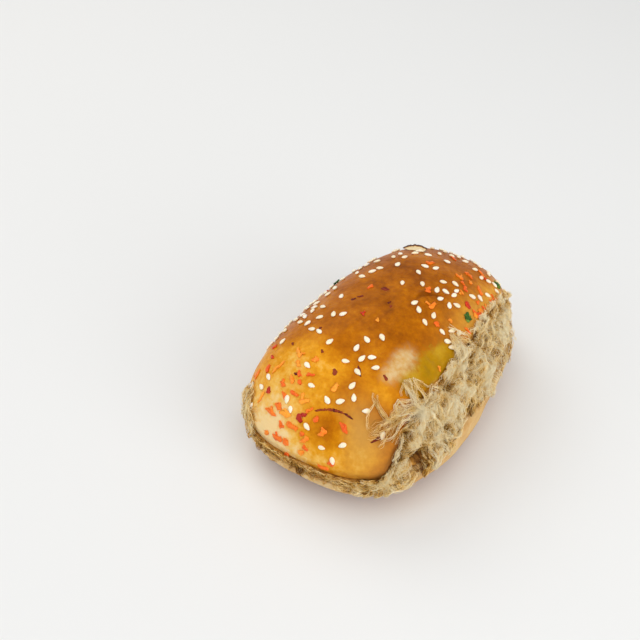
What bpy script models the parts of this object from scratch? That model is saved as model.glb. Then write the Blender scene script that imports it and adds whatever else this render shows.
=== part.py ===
# A soft milk-bread bun split along its length and filled with pork floss.
# Three bodies: the browned top with its sesame, carrot and herb bits, the
# floss layer that runs through the bun and swells out along one side, and
# the flat-bottomed base. Metres, +Z up, +Y along the length of the bun,
# +X towards the side where the floss swells out.

import math
import random

import bmesh
import bpy
import numpy as np
from mathutils import Matrix, Vector, noise

# Outside form of the whole bun
HALF_LENGTH = 0.0642
HALF_WIDTH = 0.0403
BELT_HEIGHT = 0.0175
CROWN_RISE = 0.0385
UNDER_DEPTH = 0.0245
PLAN_POWER = 2.63
PROFILE_POWER = 2.15
BACK_TAPER = 0.106
FRONT_CORNER_SWELL = 0.0024
FRONT_CORNER_AZIMUTH = math.radians(-118)
FRONT_CORNER_SPREAD = math.radians(24)

# Soft rises and hollows of the crust: x, y, radius along x, radius along y, height
SWELLS = (
    (0.0194, -0.0264, 0.0045, 0.0065, 0.0011),
    (0.0240, -0.0130, 0.0075, 0.0090, -0.0012),
    (-0.0150, -0.0420, 0.0160, 0.0150, 0.0016),
    (0.0030, -0.0330, 0.0100, 0.0090, -0.0010),
    (-0.0060, 0.0120, 0.0190, 0.0260, 0.0008),
)
DOUGH_WAVE = 0.0006
DOUGH_WAVE_SIZE = 0.020
RELIEF_FADE = 0.6
NORMAL_STEP = 0.004

# Where the bun is split and how far the filling lifts the top on the +X side
LAYER_MIDDLE = 0.0178
LAYER_THIN = 0.0046
TOP_LIFT = 0.0228
BASE_LIFT = 0.0060
LIFT_START_X = -0.024
LIFT_FULL_X = 0.026
LIFT_FRONT_Y = -0.010
LIFT_FRONT_RUN = 0.044
LIFT_FRONT_POWER = 4.2
LIFT_BACK_Y = 0.005
LIFT_BACK_RUN = 0.058
LIFT_BACK_POWER = 3.0
NODE_GAP = 0.00045

# Mesh rings
AROUND = 52
CROWN_RINGS = 10
FLOOR_RINGS = 3
SIDE_RINGS = 5
BASE_SIDE_RINGS = 4
BISECTIONS = 26

# Points closer than this many decimal places of a metre count as one
WELD_PLACES = 6

# The body of the floss: lumps, and how full it is where the layer is thin
FLOSS_LUMP = 0.0022
FLOSS_LUMP_SIZE = 0.009
FLOSS_LUMP_SHIFT = (3.1, 7.7, 1.9)
FLOSS_THIN_FULLNESS = 0.45
FLOSS_CORE_INSET = 0.0008

# Strands of floss; azimuths in radians, the rest in metres or as shares
STRAND_STEPS = 6
STRAND_STEP = 0.0030
STRAND_RADIUS = 0.00105
STRAND_TIP = 0.45
STRAND_SIDES = 4
STRAND_FIRST_SIDE = (0.3, 0.2, 1.0)
STRAND_ROOT = -0.0012
STRAND_CREST = 0.0010
STRAND_VARIATION = (0.6, 1.2)
STRAND_SEED = 417
SIDE_STRANDS = 26
SIDE_AZIMUTHS = (-0.98, 0.98)
SIDE_PLACE = (0.1, 0.9)
SIDE_ENDS = (0.18, 0.82)
THIN_STRANDS = 7
THIN_AZIMUTHS = (1.3, math.tau - 1.3)
THIN_PLACE = (0.2, 0.8)

# Strands that lie over the rim of the top: places from the rim, then shares of their reach
LIP_STRANDS = 17
LIP_AZIMUTHS = (-1.12, 0.30)
LIP_PLACE = (0.2, 0.8)
LIP_MAT = -0.88
LIP_MAT_SPREAD = 0.20
LIP_CLEARANCE = 0.00050
LIP_ROOT = -0.0050
LIP_ROOT_ROOM = 0.55
LIP_STARTS = (-0.0016, 0.0012)
LIP_ENDS = (0.35, 0.70, 1.0)
LIP_REACH = (0.0045, 0.0170)
LIP_REACH_VARIATION = (0.7, 1.1)
LIP_DRIFT = (-0.0030, 0.0012)
LIP_DRIFT_CHANGE = (-0.0014, 0.0010)

# Sesame seeds
SESAME_COUNT = 112
SESAME_LENGTH = 0.0032
SESAME_WIDTH = 0.0020
SESAME_THICKNESS = 0.0012
SESAME_TAPER = 0.45
SESAME_SUNK = 0.00020
SESAME_SPACING = 0.0034

# Carrot and herb bits: x, y, length, width, turn of those with a place of their own
CARROT_COUNT = 38
CARROT_LENGTH = (0.0020, 0.0042)
CARROT_WIDTH = (0.0012, 0.0022)
CHIP_THICKNESS = 0.0011
CHIP_ABOVE = 0.55
CHIP_BELOW = 0.75
CHIP_TOP_SHARE = 0.86
CHIP_CORNER_TURN = 0.25
CHIP_CORNER_REACH = (0.85, 1.1)
CARROT_CORNERS = 5
LARGE_CORNERS = 6
LONG_CARROT = (-0.0215, -0.0474, 0.0070, 0.0019, 1.03)
LONG_CARROT_END = 0.35
HERBS = (
    (0.0250, 0.0118, 0.0048, 0.0034, 0.6),
    (0.0216, 0.0452, 0.0052, 0.0034, 1.3),
    (-0.0330, 0.0080, 0.0044, 0.0030, 0.2),
)
BIT_SPACING = 0.0040
STRAND_SPACING = STRAND_RADIUS + 0.8 * SESAME_LENGTH
RIM_MARGIN = 0.0036
PLAN_MARGIN = 0.985
TOPPING_SEED = 93
PLACING_TRIES = 20000

# How thickly the bits lie: a share everywhere, and drifts where they gathered.
# A drift is x, y, radius along x, radius along y, weight; a negative one is a bare spot.
SESAME_EVERYWHERE = 0.16
SESAME_DRIFTS = (
    (0.0085, 0.0155, 0.0075, 0.0060, 1.00),
    (-0.0120, 0.0240, 0.0100, 0.0060, 0.60),
    (0.0165, -0.0015, 0.0060, 0.0060, 0.90),
    (0.0170, 0.0115, 0.0050, 0.0045, 0.80),
    (0.0045, -0.0300, 0.0070, 0.0060, 0.90),
    (-0.0215, -0.0260, 0.0070, 0.0060, 0.80),
    (0.0100, -0.0470, 0.0040, 0.0050, 0.80),
    (-0.0060, -0.0530, 0.0080, 0.0040, 0.70),
    (-0.0230, -0.0520, 0.0050, 0.0060, 0.70),
    (0.0120, -0.0610, 0.0100, 0.0030, 0.60),
    (-0.0300, 0.0000, 0.0080, 0.0400, 0.60),
    (0.0050, 0.0480, 0.0180, 0.0100, 0.70),
    (0.0240, 0.0250, 0.0050, 0.0150, 0.50),
    (-0.0020, -0.0100, 0.0100, 0.0140, -0.50),
    (0.0210, -0.0200, 0.0090, 0.0120, -0.60),
)
CARROT_EVERYWHERE = 0.02
CARROT_DRIFTS = (
    (-0.0090, -0.0580, 0.0120, 0.0070, 1.00),
    (-0.0150, -0.0470, 0.0090, 0.0070, 0.45),
    (0.0220, 0.0250, 0.0060, 0.0170, 0.45),
)

# Finish of the three bodies: colour, roughness, coat, angle past which an edge stays sharp
CRUST_FINISH = ("egg_glazed_crust", (0.560, 0.235, 0.035), 0.36, 0.35, math.radians(50))
FLOSS_FINISH = ("dry_pork_floss", (0.640, 0.470, 0.235), 0.90, 0.0, math.radians(60))
BREAD_FINISH = ("soft_bread_side", (0.700, 0.470, 0.210), 0.75, 0.0, math.radians(50))


def clear_scene():
    for item in list(bpy.data.objects):
        bpy.data.objects.remove(item, do_unlink=True)


def smooth_step(start, end, value):
    t = min(1.0, max(0.0, (value - start) / (end - start)))
    return t * t * (3.0 - 2.0 * t)


def plan_radius(azimuth):
    across = abs(math.cos(azimuth) / HALF_WIDTH) ** PLAN_POWER
    along = abs(math.sin(azimuth) / HALF_LENGTH) ** PLAN_POWER
    turn = math.remainder(azimuth - FRONT_CORNER_AZIMUTH, math.tau)
    swell = FRONT_CORNER_SWELL * math.exp(-((turn / FRONT_CORNER_SPREAD) ** 2))
    return (across + along) ** (-1.0 / PLAN_POWER) + swell


def relief(x, y):
    height = DOUGH_WAVE * noise.noise(Vector((x, y, 0.0)) / DOUGH_WAVE_SIZE)
    for centre_x, centre_y, radius_x, radius_y, rise in SWELLS:
        square = ((x - centre_x) / radius_x) ** 2 + ((y - centre_y) / radius_y) ** 2
        height += rise * math.exp(-square)
    return height


def surface(azimuth, rise_angle):
    """Point on the outside of the bun: rise angle 0 at the belt, a right angle at the crown."""
    reach = abs(math.cos(rise_angle)) ** (2.0 / PROFILE_POWER)
    climb = abs(math.sin(rise_angle)) ** (2.0 / PROFILE_POWER)
    radius = plan_radius(azimuth) * reach
    x = radius * math.cos(azimuth)
    y = radius * math.sin(azimuth)
    x *= 1.0 - BACK_TAPER * y / HALF_LENGTH
    if rise_angle < 0.0:
        return Vector((x, y, BELT_HEIGHT - UNDER_DEPTH * climb))
    above = CROWN_RISE * climb + relief(x, y) * smooth_step(0.0, RELIEF_FADE, climb)
    return Vector((x, y, BELT_HEIGHT + above))


def surface_normal(azimuth, rise_angle):
    ahead = surface(azimuth + NORMAL_STEP, rise_angle) - surface(azimuth - NORMAL_STEP, rise_angle)
    upward = surface(azimuth, rise_angle + NORMAL_STEP) - surface(azimuth, rise_angle - NORMAL_STEP)
    return ahead.cross(upward).normalized()


def lift(x, y):
    across = smooth_step(LIFT_START_X, LIFT_FULL_X, x)
    front = min(1.0, max(0.0, (LIFT_FRONT_Y - y) / LIFT_FRONT_RUN))
    back = min(1.0, max(0.0, (y - LIFT_BACK_Y) / LIFT_BACK_RUN))
    return across * (1.0 - front**LIFT_FRONT_POWER) * (1.0 - back**LIFT_BACK_POWER)


def crust_floor(x, y):
    return LAYER_MIDDLE + LAYER_THIN / 2.0 + TOP_LIFT * lift(x, y)


def base_roof(x, y):
    return LAYER_MIDDLE - LAYER_THIN / 2.0 + BASE_LIFT * lift(x, y)


def bottom_angle():
    return -math.asin((BELT_HEIGHT / UNDER_DEPTH) ** (PROFILE_POWER / 2.0))


def rim_angle(azimuth, level):
    """Rise angle at which the outside of the bun meets a split surface."""
    low = bottom_angle()
    high = math.pi / 2.0
    for _ in range(BISECTIONS):
        middle = (low + high) / 2.0
        point = surface(azimuth, middle)
        if point.z < level(point.x, point.y):
            low = middle
        else:
            high = middle
    return (low + high) / 2.0


def azimuths():
    """Directions round the bun, closer together at its two rounded ends."""
    turns = [math.tau * index / AROUND for index in range(AROUND)]
    return [math.atan2(HALF_LENGTH * math.sin(turn), HALF_WIDTH * math.cos(turn)) for turn in turns]


def mix(start, end, share):
    return start + (end - start) * share


def body_from_rings(name, first_pole, rings, last_pole):
    """Closed body from stacked rings of points with one point at each end."""
    mesh = bpy.data.meshes.new(name)
    shell = bmesh.new()
    start = shell.verts.new(first_pole)
    end = shell.verts.new(last_pole)
    rows = [[shell.verts.new(point) for point in ring] for ring in rings]
    count = len(rows[0])
    for index in range(count):
        after = (index + 1) % count
        shell.faces.new((start, rows[0][index], rows[0][after]))
        for upper, lower in zip(rows, rows[1:]):
            shell.faces.new((upper[index], lower[index], lower[after], upper[after]))
        shell.faces.new((rows[-1][index], end, rows[-1][after]))
    bmesh.ops.triangulate(shell, faces=shell.faces)
    bmesh.ops.recalc_face_normals(shell, faces=shell.faces)
    shell.to_mesh(mesh)
    shell.free()
    item = bpy.data.objects.new(name, mesh)
    bpy.context.scene.collection.objects.link(item)
    return item


def flat_ring(rims, share, level, shift):
    ring = []
    for rim in rims:
        x, y = rim.x * share, rim.y * share
        ring.append(Vector((x, y, level(x, y) + shift)))
    return ring


def floor_shares():
    return [1.0 - index / (FLOOR_RINGS + 1.0) for index in range(FLOOR_RINGS + 1)]


def crust_core():
    angles = [rim_angle(azimuth, crust_floor) for azimuth in azimuths()]
    rims = [surface(azimuth, angle) for azimuth, angle in zip(azimuths(), angles)]
    rings = []
    for index in range(1, CROWN_RINGS + 1):
        share = index / CROWN_RINGS
        rings.append([surface(a, mix(math.pi / 2.0, rim, share)) for a, rim in zip(azimuths(), angles)])
    for share in floor_shares()[1:]:
        rings.append(flat_ring(rims, share, crust_floor, 0.0))
    top = surface(0.0, math.pi / 2.0)
    floor = Vector((0.0, 0.0, crust_floor(0.0, 0.0)))
    return body_from_rings("bun_top", top, rings, floor)


def base_core():
    angles = [rim_angle(azimuth, base_roof) for azimuth in azimuths()]
    rims = [surface(azimuth, angle) for azimuth, angle in zip(azimuths(), angles)]
    foot = bottom_angle()
    rings = []
    for share in reversed(floor_shares()):
        ring = [surface(azimuth, foot) * share for azimuth in azimuths()]
        rings.append([Vector((point.x, point.y, 0.0)) for point in ring])
    for index in range(1, BASE_SIDE_RINGS + 1):
        share = index / BASE_SIDE_RINGS
        rings.append([surface(a, mix(foot, rim, share)) for a, rim in zip(azimuths(), angles)])
    for share in floor_shares()[1:]:
        rings.append(flat_ring(rims, share, base_roof, 0.0))
    roof = Vector((0.0, 0.0, base_roof(0.0, 0.0)))
    return body_from_rings("bun_base", Vector((0.0, 0.0, 0.0)), rings, roof)


def floss_side(azimuth, share):
    """Point on the floss side: share 0 at the rim of the top, 1 at the rim of the base."""
    upper = rim_angle(azimuth, crust_floor)
    lower = rim_angle(azimuth, base_roof)
    angle = mix(upper, lower, share)
    point = surface(azimuth, angle)
    normal = surface_normal(azimuth, angle)
    belly = math.sin(math.pi * share)
    fullness = mix(FLOSS_THIN_FULLNESS, 1.0, lift(point.x, point.y))
    lump = FLOSS_LUMP * fullness * noise.noise(point / FLOSS_LUMP_SIZE + Vector(FLOSS_LUMP_SHIFT))
    return point + normal * (belly * (lump - FLOSS_CORE_INSET)), normal


def floss_core():
    top_angles = [rim_angle(azimuth, crust_floor) for azimuth in azimuths()]
    base_angles = [rim_angle(azimuth, base_roof) for azimuth in azimuths()]
    top_rims = [surface(a, angle) for a, angle in zip(azimuths(), top_angles)]
    base_rims = [surface(a, angle) for a, angle in zip(azimuths(), base_angles)]
    rings = []
    for share in reversed(floor_shares()):
        rings.append(flat_ring(top_rims, share, crust_floor, -NODE_GAP))
    for index in range(1, SIDE_RINGS):
        share = index / SIDE_RINGS
        rings.append([floss_side(azimuth, share)[0] for azimuth in azimuths()])
    for share in floor_shares():
        rings.append(flat_ring(base_rims, share, base_roof, NODE_GAP))
    top = Vector((0.0, 0.0, crust_floor(0.0, 0.0) - NODE_GAP))
    bottom = Vector((0.0, 0.0, base_roof(0.0, 0.0) + NODE_GAP))
    return body_from_rings("pork_floss", top, rings, bottom)


def tube(name, points, radii, collection):
    """Closed tapering tube through the points."""
    mesh = bpy.data.meshes.new(name)
    shell = bmesh.new()
    rows = []
    side = Vector(STRAND_FIRST_SIDE)
    for index, (point, radius) in enumerate(zip(points, radii)):
        before = points[max(0, index - 1)]
        after = points[min(len(points) - 1, index + 1)]
        along = (after - before).normalized()
        side = (side - along * side.dot(along)).normalized()
        other = along.cross(side)
        row = []
        for corner in range(STRAND_SIDES):
            turn = math.tau * corner / STRAND_SIDES
            row.append(shell.verts.new(point + (side * math.cos(turn) + other * math.sin(turn)) * radius))
        rows.append(row)
    for first, second in zip(rows, rows[1:]):
        for corner in range(STRAND_SIDES):
            after = (corner + 1) % STRAND_SIDES
            shell.faces.new((first[corner], second[corner], second[after], first[after]))
    shell.faces.new(rows[0])
    shell.faces.new(rows[-1])
    bmesh.ops.triangulate(shell, faces=shell.faces)
    bmesh.ops.recalc_face_normals(shell, faces=shell.faces)
    shell.to_mesh(mesh)
    shell.free()
    item = bpy.data.objects.new(name, mesh)
    collection.objects.link(item)


def strand_radii():
    """Full in the middle of a strand and thinner towards both ends."""
    last = STRAND_STEPS - 1
    from_middle = [abs(2.0 * step / last - 1.0) for step in range(STRAND_STEPS)]
    return [STRAND_RADIUS * mix(1.0, STRAND_TIP, share) for share in from_middle]


def side_strand(chance, azimuth, way):
    """Strand that leaves the floss side, runs along it one way and goes back in."""
    points = []
    last = STRAND_STEPS - 1
    start, end = chance.uniform(*SIDE_ENDS), chance.uniform(*SIDE_ENDS)
    for step in range(STRAND_STEPS):
        share = mix(start, end, step / last)
        point, normal = floss_side(azimuth, share)
        bow = math.sin(math.pi * step / last)
        crest = STRAND_CREST * chance.uniform(*STRAND_VARIATION)
        points.append(point + normal * mix(STRAND_ROOT, crest, bow))
        azimuth += way * STRAND_STEP * chance.uniform(*STRAND_VARIATION) / math.hypot(point.x, point.y)
    return points


def lip_strand(chance, azimuth, reach, radii):
    """Strand that rises from the floss over the rim of the top and lies on the crust."""
    rim = rim_angle(azimuth, crust_floor)
    room = (rim - rim_angle(azimuth, base_roof)) * CROWN_RISE
    root = max(LIP_ROOT, -LIP_ROOT_ROOM * room)
    points = []
    offsets = (root, *LIP_STARTS, *(reach * share for share in LIP_ENDS))
    drift = chance.uniform(*LIP_DRIFT)
    for step, (offset, thickness) in enumerate(zip(offsets, radii)):
        angle = rim + offset / CROWN_RISE
        height = STRAND_ROOT if step == 0 else thickness + LIP_CLEARANCE
        points.append(surface(azimuth, angle) + surface_normal(azimuth, angle) * height)
        azimuth += drift / plan_radius(azimuth)
        drift += chance.uniform(*LIP_DRIFT_CHANGE)
    return points


def spread_over(chance, azimuths_between, count, place):
    """Directions one after the other between two, each at an uneven place in its own slot."""
    for index in range(count):
        yield mix(*azimuths_between, (index + chance.uniform(*place)) / count)


def floss_body():
    core = floss_core()
    chance = random.Random(STRAND_SEED)
    collection = bpy.data.collections.new("strands")
    bpy.context.scene.collection.children.link(collection)
    radii = strand_radii()
    for azimuth in spread_over(chance, SIDE_AZIMUTHS, SIDE_STRANDS, SIDE_PLACE):
        tube("strand", side_strand(chance, azimuth, chance.choice((-1, 1))), radii, collection)
    for azimuth in spread_over(chance, THIN_AZIMUTHS, THIN_STRANDS, THIN_PLACE):
        tube("strand", side_strand(chance, azimuth, chance.choice((-1, 1))), radii, collection)
    resting = []
    for azimuth in spread_over(chance, LIP_AZIMUTHS, LIP_STRANDS, LIP_PLACE):
        mat = math.exp(-(((azimuth - LIP_MAT) / LIP_MAT_SPREAD) ** 2))
        reach = mix(*LIP_REACH, mat) * chance.uniform(*LIP_REACH_VARIATION)
        points = lip_strand(chance, azimuth, reach, radii)
        resting.extend(points[2:])
        tube("strand", points, radii, collection)
    fuse(core, collection)
    fill_pockets(core)
    return core, resting


def cut_into_triangles(mesh):
    shell = bmesh.new()
    shell.from_mesh(mesh)
    bmesh.ops.triangulate(shell, faces=shell.faces)
    shell.to_mesh(mesh)
    shell.free()


def is_cleanly_closed(mesh):
    """True where every edge of the mesh, cut into triangles, joins just two of them."""
    mesh.calc_loop_triangles()
    points = np.empty(len(mesh.vertices) * 3, np.float32)
    mesh.vertices.foreach_get("co", points)
    corners = np.empty(len(mesh.loop_triangles) * 3, np.int32)
    mesh.loop_triangles.foreach_get("vertices", corners)
    _, same = np.unique(np.round(points.reshape(-1, 3), WELD_PLACES), axis=0, return_inverse=True)
    triangles = same.reshape(-1)[corners].reshape(-1, 3)
    ends = np.concatenate([triangles[:, [0, 1]], triangles[:, [1, 2]], triangles[:, [2, 0]]])
    return bool((np.unique(np.sort(ends, axis=1), axis=0, return_counts=True)[1] == 2).all())


def fuse(core, collection):
    """Joins the pieces to the core one by one; one that would only graze it is left out."""
    bpy.context.view_layer.objects.active = core
    kept = 0
    for item in list(collection.objects):
        before = core.data
        core.data = before.copy()
        union = core.modifiers.new("union", "BOOLEAN")
        union.operation = "UNION"
        union.object = item
        union.solver = "MANIFOLD"
        bpy.ops.object.modifier_apply(modifier=union.name)
        cut_into_triangles(core.data)
        if is_cleanly_closed(core.data):
            bpy.data.meshes.remove(before)
            kept += 1
        else:
            failed = core.data
            core.data = before
            bpy.data.meshes.remove(failed)
        bpy.data.objects.remove(item, do_unlink=True)
    print(core.name, "fused pieces:", kept)
    bpy.data.collections.remove(collection)


def fill_pockets(item):
    """Fills the closed pockets between crossing strands by keeping the outer shell only."""
    shell = bmesh.new()
    shell.from_mesh(item.data)
    unseen = set(shell.faces)
    islands = []
    while unseen:
        stack = [unseen.pop()]
        island = list(stack)
        while stack:
            for edge in stack.pop().edges:
                for face in edge.link_faces:
                    if face in unseen:
                        unseen.discard(face)
                        stack.append(face)
                        island.append(face)
        islands.append(island)
    islands.sort(key=len)
    inner = [face for island in islands[:-1] for face in island]
    bmesh.ops.delete(shell, geom=inner, context="FACES")
    shell.to_mesh(item.data)
    shell.free()


def angle_at(azimuth, radius):
    """Rise angle at which the crust is a given distance from the upright axis."""
    low, high = 0.0, math.pi / 2.0
    for _ in range(BISECTIONS):
        middle = (low + high) / 2.0
        point = surface(azimuth, middle)
        if math.hypot(point.x, point.y) > radius:
            low = middle
        else:
            high = middle
    return (low + high) / 2.0


def crust_seat(x, y):
    """Point and normal of the crust above a spot of the plan, and its way in from the rim."""
    square = x * (1.0 + BACK_TAPER * y / HALF_LENGTH)
    azimuth = math.atan2(y, square)
    angle = angle_at(azimuth, math.hypot(x, y))
    point = surface(azimuth, angle)
    inward = (angle - rim_angle(azimuth, crust_floor)) * CROWN_RISE
    return point, surface_normal(azimuth, angle), inward


def seat_on(core, x, y):
    """The crust's seat moved onto the faceted body, so that what stands on it bites in."""
    point, normal, inward = crust_seat(x, y)
    _, seat, _, _ = core.closest_point_on_mesh(point)
    return seat, normal, inward


def set_on_crust(item, point, normal, turn):
    upright = Vector((0.0, 0.0, 1.0)).rotation_difference(normal).to_matrix().to_4x4()
    upright.translation = point
    spin = Vector((math.cos(turn), math.sin(turn), 0.0))
    facing = Vector((1.0, 0.0, 0.0)).rotation_difference(spin).to_matrix().to_4x4()
    item.data.transform(upright @ facing)


def sesame(chance, collection, point, normal):
    mesh = bpy.data.meshes.new("sesame")
    shell = bmesh.new()
    bmesh.ops.create_icosphere(shell, subdivisions=1, radius=0.5)
    for vertex in shell.verts:
        taper = 1.0 - SESAME_TAPER * vertex.co.x
        vertex.co.x *= SESAME_LENGTH
        vertex.co.y *= SESAME_WIDTH * taper
        vertex.co.z *= SESAME_THICKNESS
        vertex.co.z += SESAME_THICKNESS / 2.0 - SESAME_SUNK
    shell.to_mesh(mesh)
    shell.free()
    item = bpy.data.objects.new("sesame", mesh)
    collection.objects.link(item)
    set_on_crust(item, point, normal, chance.uniform(0.0, math.tau))


def chip(chance, collection, point, normal, size, turn, corners):
    """Flat many-cornered bit, uneven at its corners, sunk by half its thickness."""
    length, width = size
    mesh = bpy.data.meshes.new("chip")
    shell = bmesh.new()
    upper, lower = [], []
    for corner in range(corners):
        around = math.tau * (corner + chance.uniform(-CHIP_CORNER_TURN, CHIP_CORNER_TURN)) / corners
        x = length / 2.0 * math.cos(around) * chance.uniform(*CHIP_CORNER_REACH)
        y = width / 2.0 * math.sin(around) * chance.uniform(*CHIP_CORNER_REACH)
        upper.append(shell.verts.new((x * CHIP_TOP_SHARE, y * CHIP_TOP_SHARE, CHIP_THICKNESS * CHIP_ABOVE)))
        lower.append(shell.verts.new((x, y, -CHIP_THICKNESS * CHIP_BELOW)))
    shell.faces.new(upper)
    shell.faces.new(lower)
    for corner in range(corners):
        after = (corner + 1) % corners
        shell.faces.new((lower[corner], lower[after], upper[after], upper[corner]))
    bmesh.ops.triangulate(shell, faces=shell.faces)
    bmesh.ops.recalc_face_normals(shell, faces=shell.faces)
    shell.to_mesh(mesh)
    shell.free()
    item = bpy.data.objects.new("chip", mesh)
    collection.objects.link(item)
    set_on_crust(item, point, normal, turn)


def far_from(point, taken, distance):
    return all((point - other).length > distance for other in taken)


def thickness_of_bits(x, y, everywhere, drifts):
    """How likely a bit is to lie at a spot of the plan, from 0 to 1."""
    share = everywhere
    for centre_x, centre_y, radius_x, radius_y, weight in drifts:
        square = ((x - centre_x) / radius_x) ** 2 + ((y - centre_y) / radius_y) ** 2
        share += weight * math.exp(-square)
    return share


def scatter(chance, core, count, spacing, lie, taken, resting, place_one):
    """Sets bits at random spots, as thickly as the drifts say, clear of each other and of strands."""
    placed = 0
    for _ in range(PLACING_TRIES):
        if placed == count:
            break
        x = chance.uniform(-HALF_WIDTH, HALF_WIDTH)
        y = chance.uniform(-HALF_LENGTH, HALF_LENGTH)
        if math.hypot(x, y) > plan_radius(math.atan2(y, x)) * PLAN_MARGIN:
            continue
        if chance.random() > thickness_of_bits(x, y, *lie):
            continue
        point, normal, inward = seat_on(core, x, y)
        if inward < RIM_MARGIN or not far_from(point, taken, spacing):
            continue
        if far_from(point, resting, STRAND_SPACING):
            place_one(point, normal)
            taken.append(point)
            placed += 1
    print(placed, "bits of", count)


def place_toppings(core, resting):
    chance = random.Random(TOPPING_SEED)
    collection = bpy.data.collections.new("toppings")
    bpy.context.scene.collection.children.link(collection)
    taken = []
    for x, y, length, width, turn in (LONG_CARROT, *HERBS):
        point, normal, _ = seat_on(core, x, y)
        chip(chance, collection, point, normal, (length, width), turn, LARGE_CORNERS)
        taken.append(point)
    _, _, length, _, turn = LONG_CARROT
    taken.append(taken[0] + Vector((math.cos(turn), math.sin(turn), 0.0)) * length * LONG_CARROT_END)

    def one_carrot(point, normal):
        size = (chance.uniform(*CARROT_LENGTH), chance.uniform(*CARROT_WIDTH))
        chip(chance, collection, point, normal, size, chance.uniform(0.0, math.pi), CARROT_CORNERS)

    def one_seed(point, normal):
        sesame(chance, collection, point, normal)

    carrot_lie = (CARROT_EVERYWHERE, CARROT_DRIFTS)
    sesame_lie = (SESAME_EVERYWHERE, SESAME_DRIFTS)
    scatter(chance, core, CARROT_COUNT, BIT_SPACING, carrot_lie, taken, resting, one_carrot)
    scatter(chance, core, SESAME_COUNT, SESAME_SPACING, sesame_lie, taken, resting, one_seed)
    fuse(core, collection)


def centre_in_plan(items):
    """Moves the whole so that its box is centred on the upright axis."""
    points = np.array([vertex.co for item in items for vertex in item.data.vertices])
    middle = (points.min(axis=0) + points.max(axis=0)) / 2.0
    print("moved in plan by metres:", -middle[0], -middle[1])
    for item in items:
        item.data.transform(Matrix.Translation((-middle[0], -middle[1], 0.0)))


def principled(name, colour, roughness, coat):
    material = bpy.data.materials.new(name)
    material.use_nodes = True
    shader = material.node_tree.nodes["Principled BSDF"]
    shader.inputs["Base Color"].default_value = (*colour, 1.0)
    shader.inputs["Roughness"].default_value = roughness
    shader.inputs["Coat Weight"].default_value = coat
    return material


def finish(item, name, colour, roughness, coat, sharp_angle):
    item.data.materials.clear()
    item.data.materials.append(principled(name, colour, roughness, coat))
    item.data.shade_smooth()
    item.data.set_sharp_from_angle(angle=sharp_angle)


def main():
    clear_scene()
    base = base_core()
    floss, resting = floss_body()
    crust = crust_core()
    place_toppings(crust, resting)
    centre_in_plan((crust, floss, base))
    finish(crust, *CRUST_FINISH)
    finish(floss, *FLOSS_FINISH)
    finish(base, *BREAD_FINISH)


main()
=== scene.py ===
# %% [markdown]
# A pork floss bun, dressed for the camera. The bun is a long soft milk-bread roll. Its top was brushed
# with egg before baking, scattered with sesame, carrot and herbs, and the roll was then slit along one
# side and filled with pork floss, which is meat cooked until it falls into dry curly fibres.
# The engineering model gives three plain solids: top, floss and base. This lesson replaces each with
# its real surface, in the same place and at the same size.

import math
import random

import bpy
import numpy as np
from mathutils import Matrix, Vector, noise
from mathutils.bvhtree import BVHTree


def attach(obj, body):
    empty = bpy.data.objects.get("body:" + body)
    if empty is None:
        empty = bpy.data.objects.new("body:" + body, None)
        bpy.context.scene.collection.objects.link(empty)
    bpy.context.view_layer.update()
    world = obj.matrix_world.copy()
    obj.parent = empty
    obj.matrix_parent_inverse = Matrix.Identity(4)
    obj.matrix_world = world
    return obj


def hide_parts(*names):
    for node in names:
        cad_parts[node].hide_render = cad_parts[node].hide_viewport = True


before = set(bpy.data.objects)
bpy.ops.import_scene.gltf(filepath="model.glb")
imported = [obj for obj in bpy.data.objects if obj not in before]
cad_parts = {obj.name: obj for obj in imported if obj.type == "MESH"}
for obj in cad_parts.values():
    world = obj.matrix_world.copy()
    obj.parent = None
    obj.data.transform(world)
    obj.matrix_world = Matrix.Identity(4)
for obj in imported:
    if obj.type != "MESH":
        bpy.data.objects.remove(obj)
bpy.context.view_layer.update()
bpy.ops.object.select_all(action="DESELECT")
MM = 0.001

# %% [markdown]
# The outside of the bun is one smooth form, worked out from a few sizes: a superellipse seen from
# above, a rounded profile from the side, a little narrower at the back and fuller at one front corner.
# Writing it as a function means that the crust, the seeds that sit on it and the fibres that lie over
# it all agree on where the surface is.

# %% Helpers on numbers


def smooth_step(start, end, value):
    """0 before the start, 1 past the end, and an even S-shaped way between them."""
    t = np.clip((value - start) / (end - start), 0.0, 1.0)
    return t * t * (3.0 - 2.0 * t)


def unit(vectors):
    """The same directions with length 1."""
    return vectors / (np.linalg.norm(vectors, axis=-1, keepdims=True) + 1e-12)


def mound(x, y, centre_x, centre_y, radius_x, radius_y):
    """A soft round weight: 1 at its centre, given in mm, and near 0 past its radius."""
    across = (x / MM - centre_x) / radius_x
    along = (y / MM - centre_y) / radius_y
    return np.exp(-(across**2 + along**2))


def mounds(x, y, rows):
    """The sum of mounds; each row gives centre x and y, both radii in mm, and the height."""
    return sum(height * mound(x, y, *place) for *place, height in rows)


def noise_over(spots, size, shift=0.0):
    """Noise at every spot of an array of points, in lumps of the size given."""
    flat = (spots / size + shift).reshape(-1, 3)
    return np.array([noise.noise(Vector(p)) for p in flat]).reshape(spots.shape[:-1])


def read_table(table, u, v):
    """A value between the four nearest entries of a table; u counts its rows, v its columns."""
    i = np.clip(u.astype(int), 0, table.shape[0] - 2)
    j = np.clip(v.astype(int), 0, table.shape[1] - 2)
    s, t = u - i, v - j
    low = table[i, j] * (1 - s) + table[i + 1, j] * s
    high = table[i, j + 1] * (1 - s) + table[i + 1, j + 1] * s
    return low * (1 - t) + high * t


print("a mound at half its radius is", round(float(mound(0.5 * MM, 0.0, 0.0, 0.0, 1.0, 1.0)), 2))

# %% Sizes of the bun
HALF_LENGTH = 64.2 * MM
HALF_WIDTH = 40.3 * MM
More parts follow.
